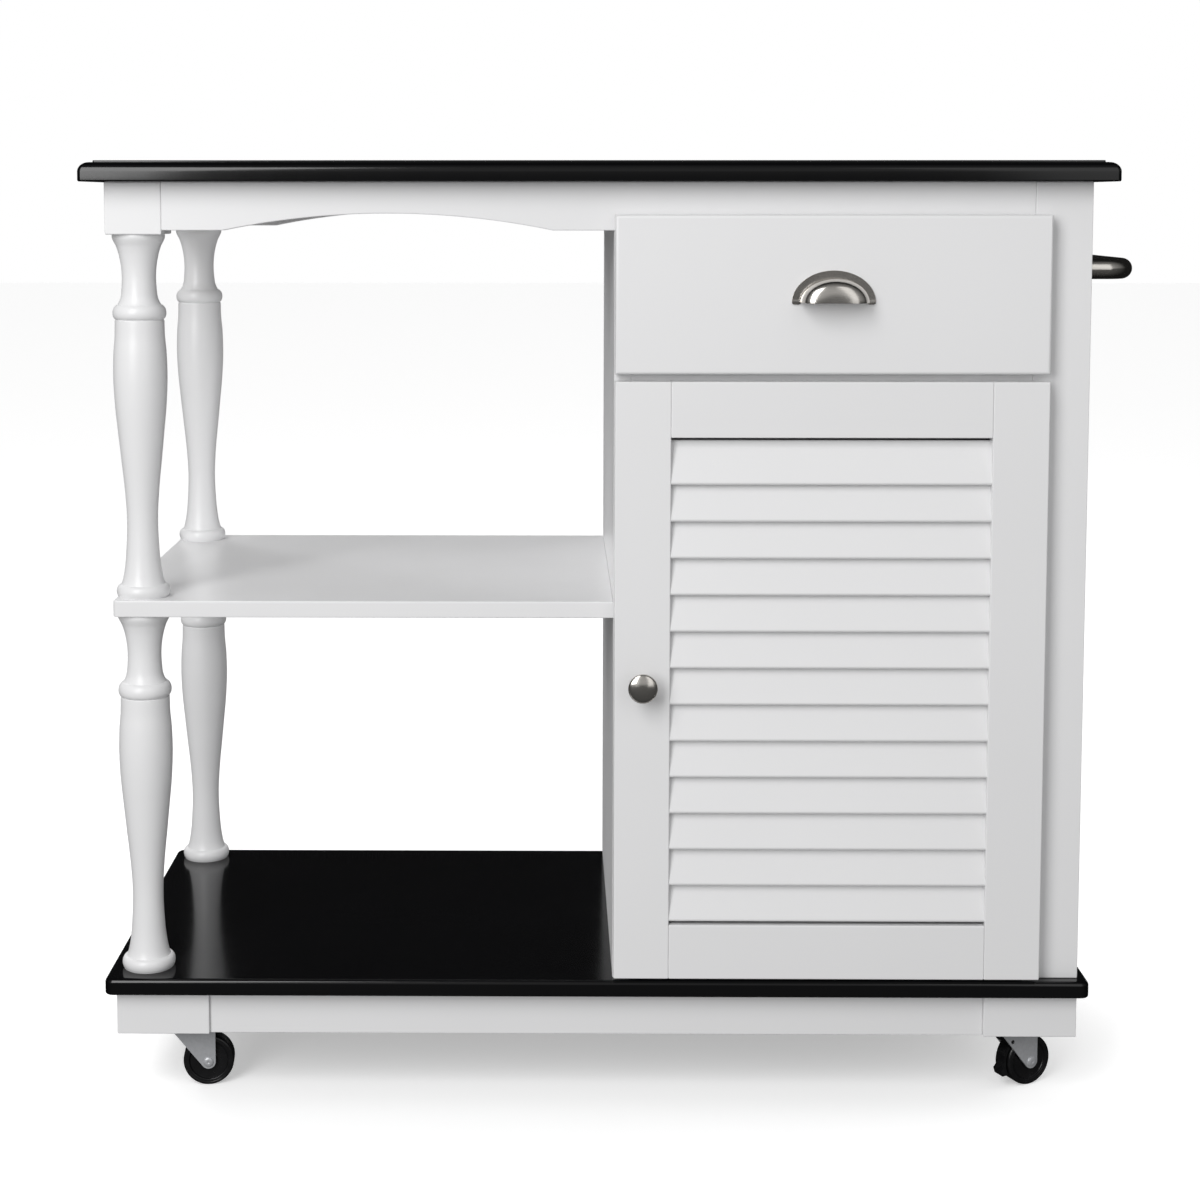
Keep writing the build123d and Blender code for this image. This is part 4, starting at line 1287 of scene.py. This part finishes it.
# ---- casters
@dataclass
class Caster:
    """Swivel caster: a bent sheet fork with a riveted axle, and a moulded wheel."""

    corner: str
    heading: float
    swivel: Point
    wheel_radius: float = 25.0 * MM
    trail: float = 23.0 * MM
    cheek_inner: float = 10.2 * MM
    metal: float = 2.2 * MM
    toe_radius: float = 7.0 * MM
    lead: float = 13.0 * MM
    crown_top: float = 59.4 * MM
    rivet_radius: float = 5.0 * MM
    rivet_height: float = 2.0 * MM
    axle_radius: float = 3.0 * MM
    crown_corner: float = 3.0 * MM
    crown_radius: float = 16.0 * MM
    fork_ease: float = 0.5 * MM

    WHEEL = ((9.0, 3.2), (9.0, 7.4), (8.8, 7.9), (8.3, 8.2), (7.1, 8.5), (6.8, 9.0), (6.8, 17.6),
             (7.0, 18.4), (7.6, 18.9), (8.7, 19.3), (9.0, 19.8), (9.0, 21.2), (8.8, 21.5),
             (8.8, 21.8), (9.0, 22.1), (8.9, 23.2), (8.5, 24.1), (7.8, 24.7), (6.8, 24.95),
             (3.5, 25.0))

    def stand(self, work: Work) -> Work:
        """Turns a work made at the origin to this caster's place and heading."""
        return work.settle(turn=(0.0, 0.0, math.radians(self.heading)),
                           shift=(*self.swivel, 0.0))

    def cheek(self, side: int) -> Work:
        """One side of the fork: wide at the crown, tapering to a round toe.

        Args:
            side: 1 or -1 for the two sides of the wheel.

        Returns:
            The cheek.
        """
        middle = side * (self.cheek_inner + self.metal / 2)
        name = f"{self.corner}_cheek"
        toe = Work.cylinder(name, self.toe_radius, self.metal,
                            Vector((self.trail, middle, self.wheel_radius)),
                            (math.pi / 2, 0.0, 0.0), 40)
        half = Vector((0.0, self.metal / 2, 0.0))
        top = Work.box(name + "_top", Vector((-self.lead, middle, self.crown_top - MM)) - half,
                       Vector((self.trail + self.toe_radius, middle, self.crown_top)) + half)
        toe.take(top).pick(Level.POINT, everything)
        bpy.ops.mesh.convex_hull()
        bpy.ops.mesh.dissolve_limited(angle_limit=math.radians(1.0))
        return toe

    def rivet(self, side: int) -> Work:
        """Domed head of the axle on one side, with a shallow dimple.

        Args:
            side: 1 or -1 for the two sides of the wheel.

        Returns:
            The rivet's head.
        """
        height, radius = self.rivet_height, self.rivet_radius
        line = flowing(((0.0, radius), (height * 0.45, radius * 0.96), (height * 0.85, radius * 0.7),
                        (height, radius * 0.36), (height * 0.9, radius * 0.2),
                        (height * 0.72, 0.0)), 3)
        work = Work.turned(f"{self.corner}_rivet", [(0.0, 0.0), *line], 40)
        work.settle(turn=(-side * math.pi / 2, 0.0, 0.0))
        outer = self.cheek_inner + self.metal
        return work.settle(shift=(self.trail, side * outer, self.wheel_radius))

    def build(self, shop: Shop) -> None:
        """Models and dresses the fork and the wheel.

        Args:
            shop: the finishes.
        """
        outer = self.cheek_inner + self.metal
        crown = Work.box(f"{self.corner}_bent_fork",
                         Vector((-self.lead, -outer, self.crown_top - self.metal)),
                         Vector((self.trail + self.toe_radius, outer, self.crown_top)))
        crown.bevel(self.crown_corner, 5, both(along(2), lambda edge: edge.verts[0].co.x > 0))
        disc = Work.cylinder("fork_crown_disc", self.crown_radius, self.metal,
                             Vector((0.0, 0.0, self.crown_top - self.metal / 2)), sides=64)
        fork = crown.unite(disc).unite(self.cheek(1)).unite(self.cheek(-1))
        fork.round_off(self.fork_ease, 3, 35.0)
        axle = Work.cylinder("axle_bar", self.axle_radius, 2 * outer,
                             Vector((self.trail, 0.0, self.wheel_radius)),
                             (math.pi / 2, 0.0, 0.0), 32)
        fork.take(axle, self.rivet(1), self.rivet(-1))
        shop.dress(self.stand(fork), Slot.ZINC_PLATE, f"{self.corner}_caster",
                   f"{self.corner}_caster_fork")
        near = [(across * MM, radius * MM) for across, radius in self.WHEEL]
        far = [(-across, radius) for across, radius in reversed(near)]
        wheel = Work.turned(f"{self.corner}_moulded_wheel", [*near, *far, near[0]], 96)
        wheel.settle(turn=(math.pi / 2, 0.0, 0.0))
        wheel.settle(shift=(self.trail, 0.0, self.wheel_radius))
        shop.dress(self.stand(wheel), Slot.BLACK_PLASTIC, f"{self.corner}_wheel",
                   f"{self.corner}_wheel")


# ---- the whole cart
@dataclass
class KitchenCart:
    """The cart: every sub-assembly, in the order it is built."""

    shop: Shop

    def top_and_frame(self) -> None:
        """Worktop, aprons, legs, shelf, base board and skirt."""
        Worktop().build(self.shop)
        ArchedApron("front_apron", "front_arched_apron").build(self.shop)
        ArchedApron("rear_apron", "rear_arched_apron").build(self.shop)
        Board("left_apron", "left_short_apron").build(self.shop)
        for place in ("front_left_upper", "rear_left_upper", "front_left_lower", "rear_left_lower"):
            TurnedLeg(f"{place}_leg", f"{place}_turned_leg").build(self.shop)
        RoundedBoard("middle_shelf", "open_middle_shelf", Slot.WHITE_PAINT, corner=5.0 * MM,
                     upper=1.4 * MM, lower=1.0 * MM, left_only=True).build(self.shop)
        RoundedBoard("base_board", "black_base_board", Slot.BLACK_PAINT, corner=9.0 * MM,
                     upper=4.5 * MM, lower=1.5 * MM).build(self.shop)
        Skirt().build(self.shop)

    def cabinet(self) -> None:
        """Cabinet walls, drawer front, door and their fittings."""
        for node in ("front_right_post", "rear_right_post", "right_side_panel", "back_panel",
                     "middle_rail", "cabinet_shelf"):
            Board(node, node + "_board").build(self.shop)
        DrawerFront().build(self.shop)
        for node in ("drawer_left_side", "drawer_right_side", "drawer_back"):
            Board(node, node + "_board", Slot.BARE_BOARD, Body.DRAWER.value,
                  ease=1.2 * MM).build(self.shop)
        LouvredDoor().build(self.shop)
        DoorKnob().build(self.shop)
        CupPull().build(self.shop)
        TowelBar().build(self.shop)

    def casters(self) -> None:
        """Four casters, each at its own heading."""
        pivots = {joint["name"]: joint["pos_m"] for joint in frame["joints"] if "pos_m" in joint}
        headings = {"front_left": 5.0, "front_right": 25.0, "rear_left": -12.0, "rear_right": 14.0}
        for corner, heading in headings.items():
            x, y, _ = pivots[f"{corner}_swivel"]
            Caster(corner, heading, (x, y)).build(self.shop)

    def carried_over(self) -> None:
        """Gives every CAD node that still shows the finish of its slot."""
        for name, node in frame["nodes"].items():
            slot = Slot(node.data.materials[0].name.split(".")[0])
            node.data.materials[0] = self.shop.finishes[slot]
            if not node.hide_render:
                LOG.info("%s: CAD node in %s", name, slot.value)

    def build(self) -> None:
        """Builds everything in order."""
        self.top_and_frame()
        self.cabinet()
        self.casters()
        self.carried_over()


# ---- stage
@dataclass
class SoftBox:
    """A rectangular lamp aimed at a point of the cart."""

    name: str
    place: Triple
    size: Point
    power: float
    aim: Triple = (0.0, 0.0, 0.45)
    shows_in_gloss: bool = True

    def build(self) -> None:
        """Adds the lamp."""
        lamp = bpy.data.lights.new(self.name, "AREA")
        lamp.shape = "RECTANGLE"
        lamp.size, lamp.size_y = self.size
        lamp.energy = self.power
        thing = bpy.data.objects.new(self.name, lamp)
        thing.location = self.place
        reach = Vector(self.aim) - Vector(self.place)
        thing.rotation_euler = reach.to_track_quat("-Z", "Y").to_euler()
        thing.visible_glossy = self.shows_in_gloss
        bpy.context.scene.collection.objects.link(thing)


@dataclass
class WideSun:
    """A far lamp, broad in the sky, that lights the whole floor alike."""

    name: str
    bearing: float
    height: float
    power: float
    spread: float = 50.0

    def build(self) -> None:
        """Adds the lamp, shining from its bearing and height in degrees."""
        lamp = bpy.data.lights.new(self.name, "SUN")
        lamp.energy = self.power
        lamp.angle = math.radians(self.spread)
        thing = bpy.data.objects.new(self.name, lamp)
        across, up = math.radians(self.bearing), math.radians(self.height)
        source = Vector((math.cos(across) * math.cos(up), math.sin(across) * math.cos(up),
                         math.sin(up)))
        thing.rotation_euler = source.to_track_quat("Z", "Y").to_euler()
        thing.visible_glossy = False
        bpy.context.scene.collection.objects.link(thing)


@dataclass
class Studio:
    """Pale floor, soft light and the camera."""

    floor_size: float = 40.0
    sky: float = 0.37
    mirror_sky: float = 0.012
    front_wall: float = 0.36
    front_ground: float = 0.10
    horizon_edge: float = 9.0
    focal_length: float = 63.06
    sensor: float = 36.0
    side_shift: float = 0.0567
    rise_shift: float = -0.1919
    distance: float = 1990.16 * MM
    eye_height: float = 877.17 * MM
    eye_side: float = -43.73 * MM
    yaw: float = -0.0092
    pitch: float = 0.0808

    def build(self) -> None:
        """Adds the floor, the lamps, the surroundings and the camera."""
        clear_selection()
        bpy.ops.mesh.primitive_plane_add(size=self.floor_size)
        floor = Work("studio_floor").thing
        floor.data.materials.append(StudioFloor().make())
        floor.visible_glossy = False
        floor.visible_diffuse = False
        SoftBox("key_lamp", place=(-1.35, -2.6, 2.0), size=(1.3, 2.8), power=71.0).build()
        SoftBox("front_fill", place=(1.6, -3.2, 1.9), size=(1.3, 3.6), power=12.0).build()
        SoftBox("side_fill", place=(3.2, 0.7, 1.8), size=(2.0, 2.0), power=26.0,
                shows_in_gloss=False).build()
        WideSun("rear_light", bearing=110.0, height=30.0, power=2.0).build()
        self.surroundings()
        self.camera()
        bpy.context.scene.view_settings.view_transform = "Standard"

    def surroundings(self) -> None:
        """An even white backdrop that glossy surfaces see as a dim room, lighter in front."""
        world = bpy.data.worlds.new("studio_surroundings")
        bpy.context.scene.world = world
        bench = NodeBench(world)
        path = bench.node("ShaderNodeLightPath")
        seen = Value(bench, path.outputs["Is Camera Ray"])
        mirrored = Value(bench, path.outputs["Is Glossy Ray"])
        way = bench.node("ShaderNodeSeparateXYZ", None, {
            0: bench.node("ShaderNodeTexCoord").outputs["Generated"]})
        forward = (Value(bench, way.outputs["Y"]) * -1.0).within(0.0, 1.0)
        above = (Value(bench, way.outputs["Z"]) * self.horizon_edge).within(0.0, 1.0)
        room = forward * (above * self.front_wall + self.front_ground) + self.mirror_sky
        soft = mirrored * room + (1.0 - mirrored) * self.sky
        strength = seen + (1.0 - seen) * soft
        background = bench.node("ShaderNodeBackground", None, {
            "Color": (1.0, 1.0, 1.0, 1.0), "Strength": strength})
        bench.node("ShaderNodeOutputWorld", None, {"Surface": background.outputs[0]})

    def camera(self) -> None:
        """Puts the camera in front of the cart, a little left of the middle."""
        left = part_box("front_left_upper_leg")[0]
        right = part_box("front_right_post")[1]
        data = bpy.data.cameras.new("front_camera")
        data.lens = self.focal_length
        data.sensor_width = self.sensor
        data.shift_x = self.side_shift
        data.shift_y = self.rise_shift
        thing = bpy.data.objects.new("front_camera", data)
        thing.location = ((left.x + right.x) / 2 + self.eye_side, left.y - self.distance,
                          self.eye_height)
        thing.rotation_euler = (math.pi / 2 - self.pitch, 0.0, -self.yaw)
        bpy.context.scene.collection.objects.link(thing)
        bpy.context.scene.camera = thing


def main() -> None:
    """Builds the cart and the studio, and reports each piece."""
    logging.basicConfig(level=logging.INFO, format="%(message)s")
    KitchenCart(Shop(make_finishes())).build()
    Studio().build()


if __name__ == "__main__":
    main()
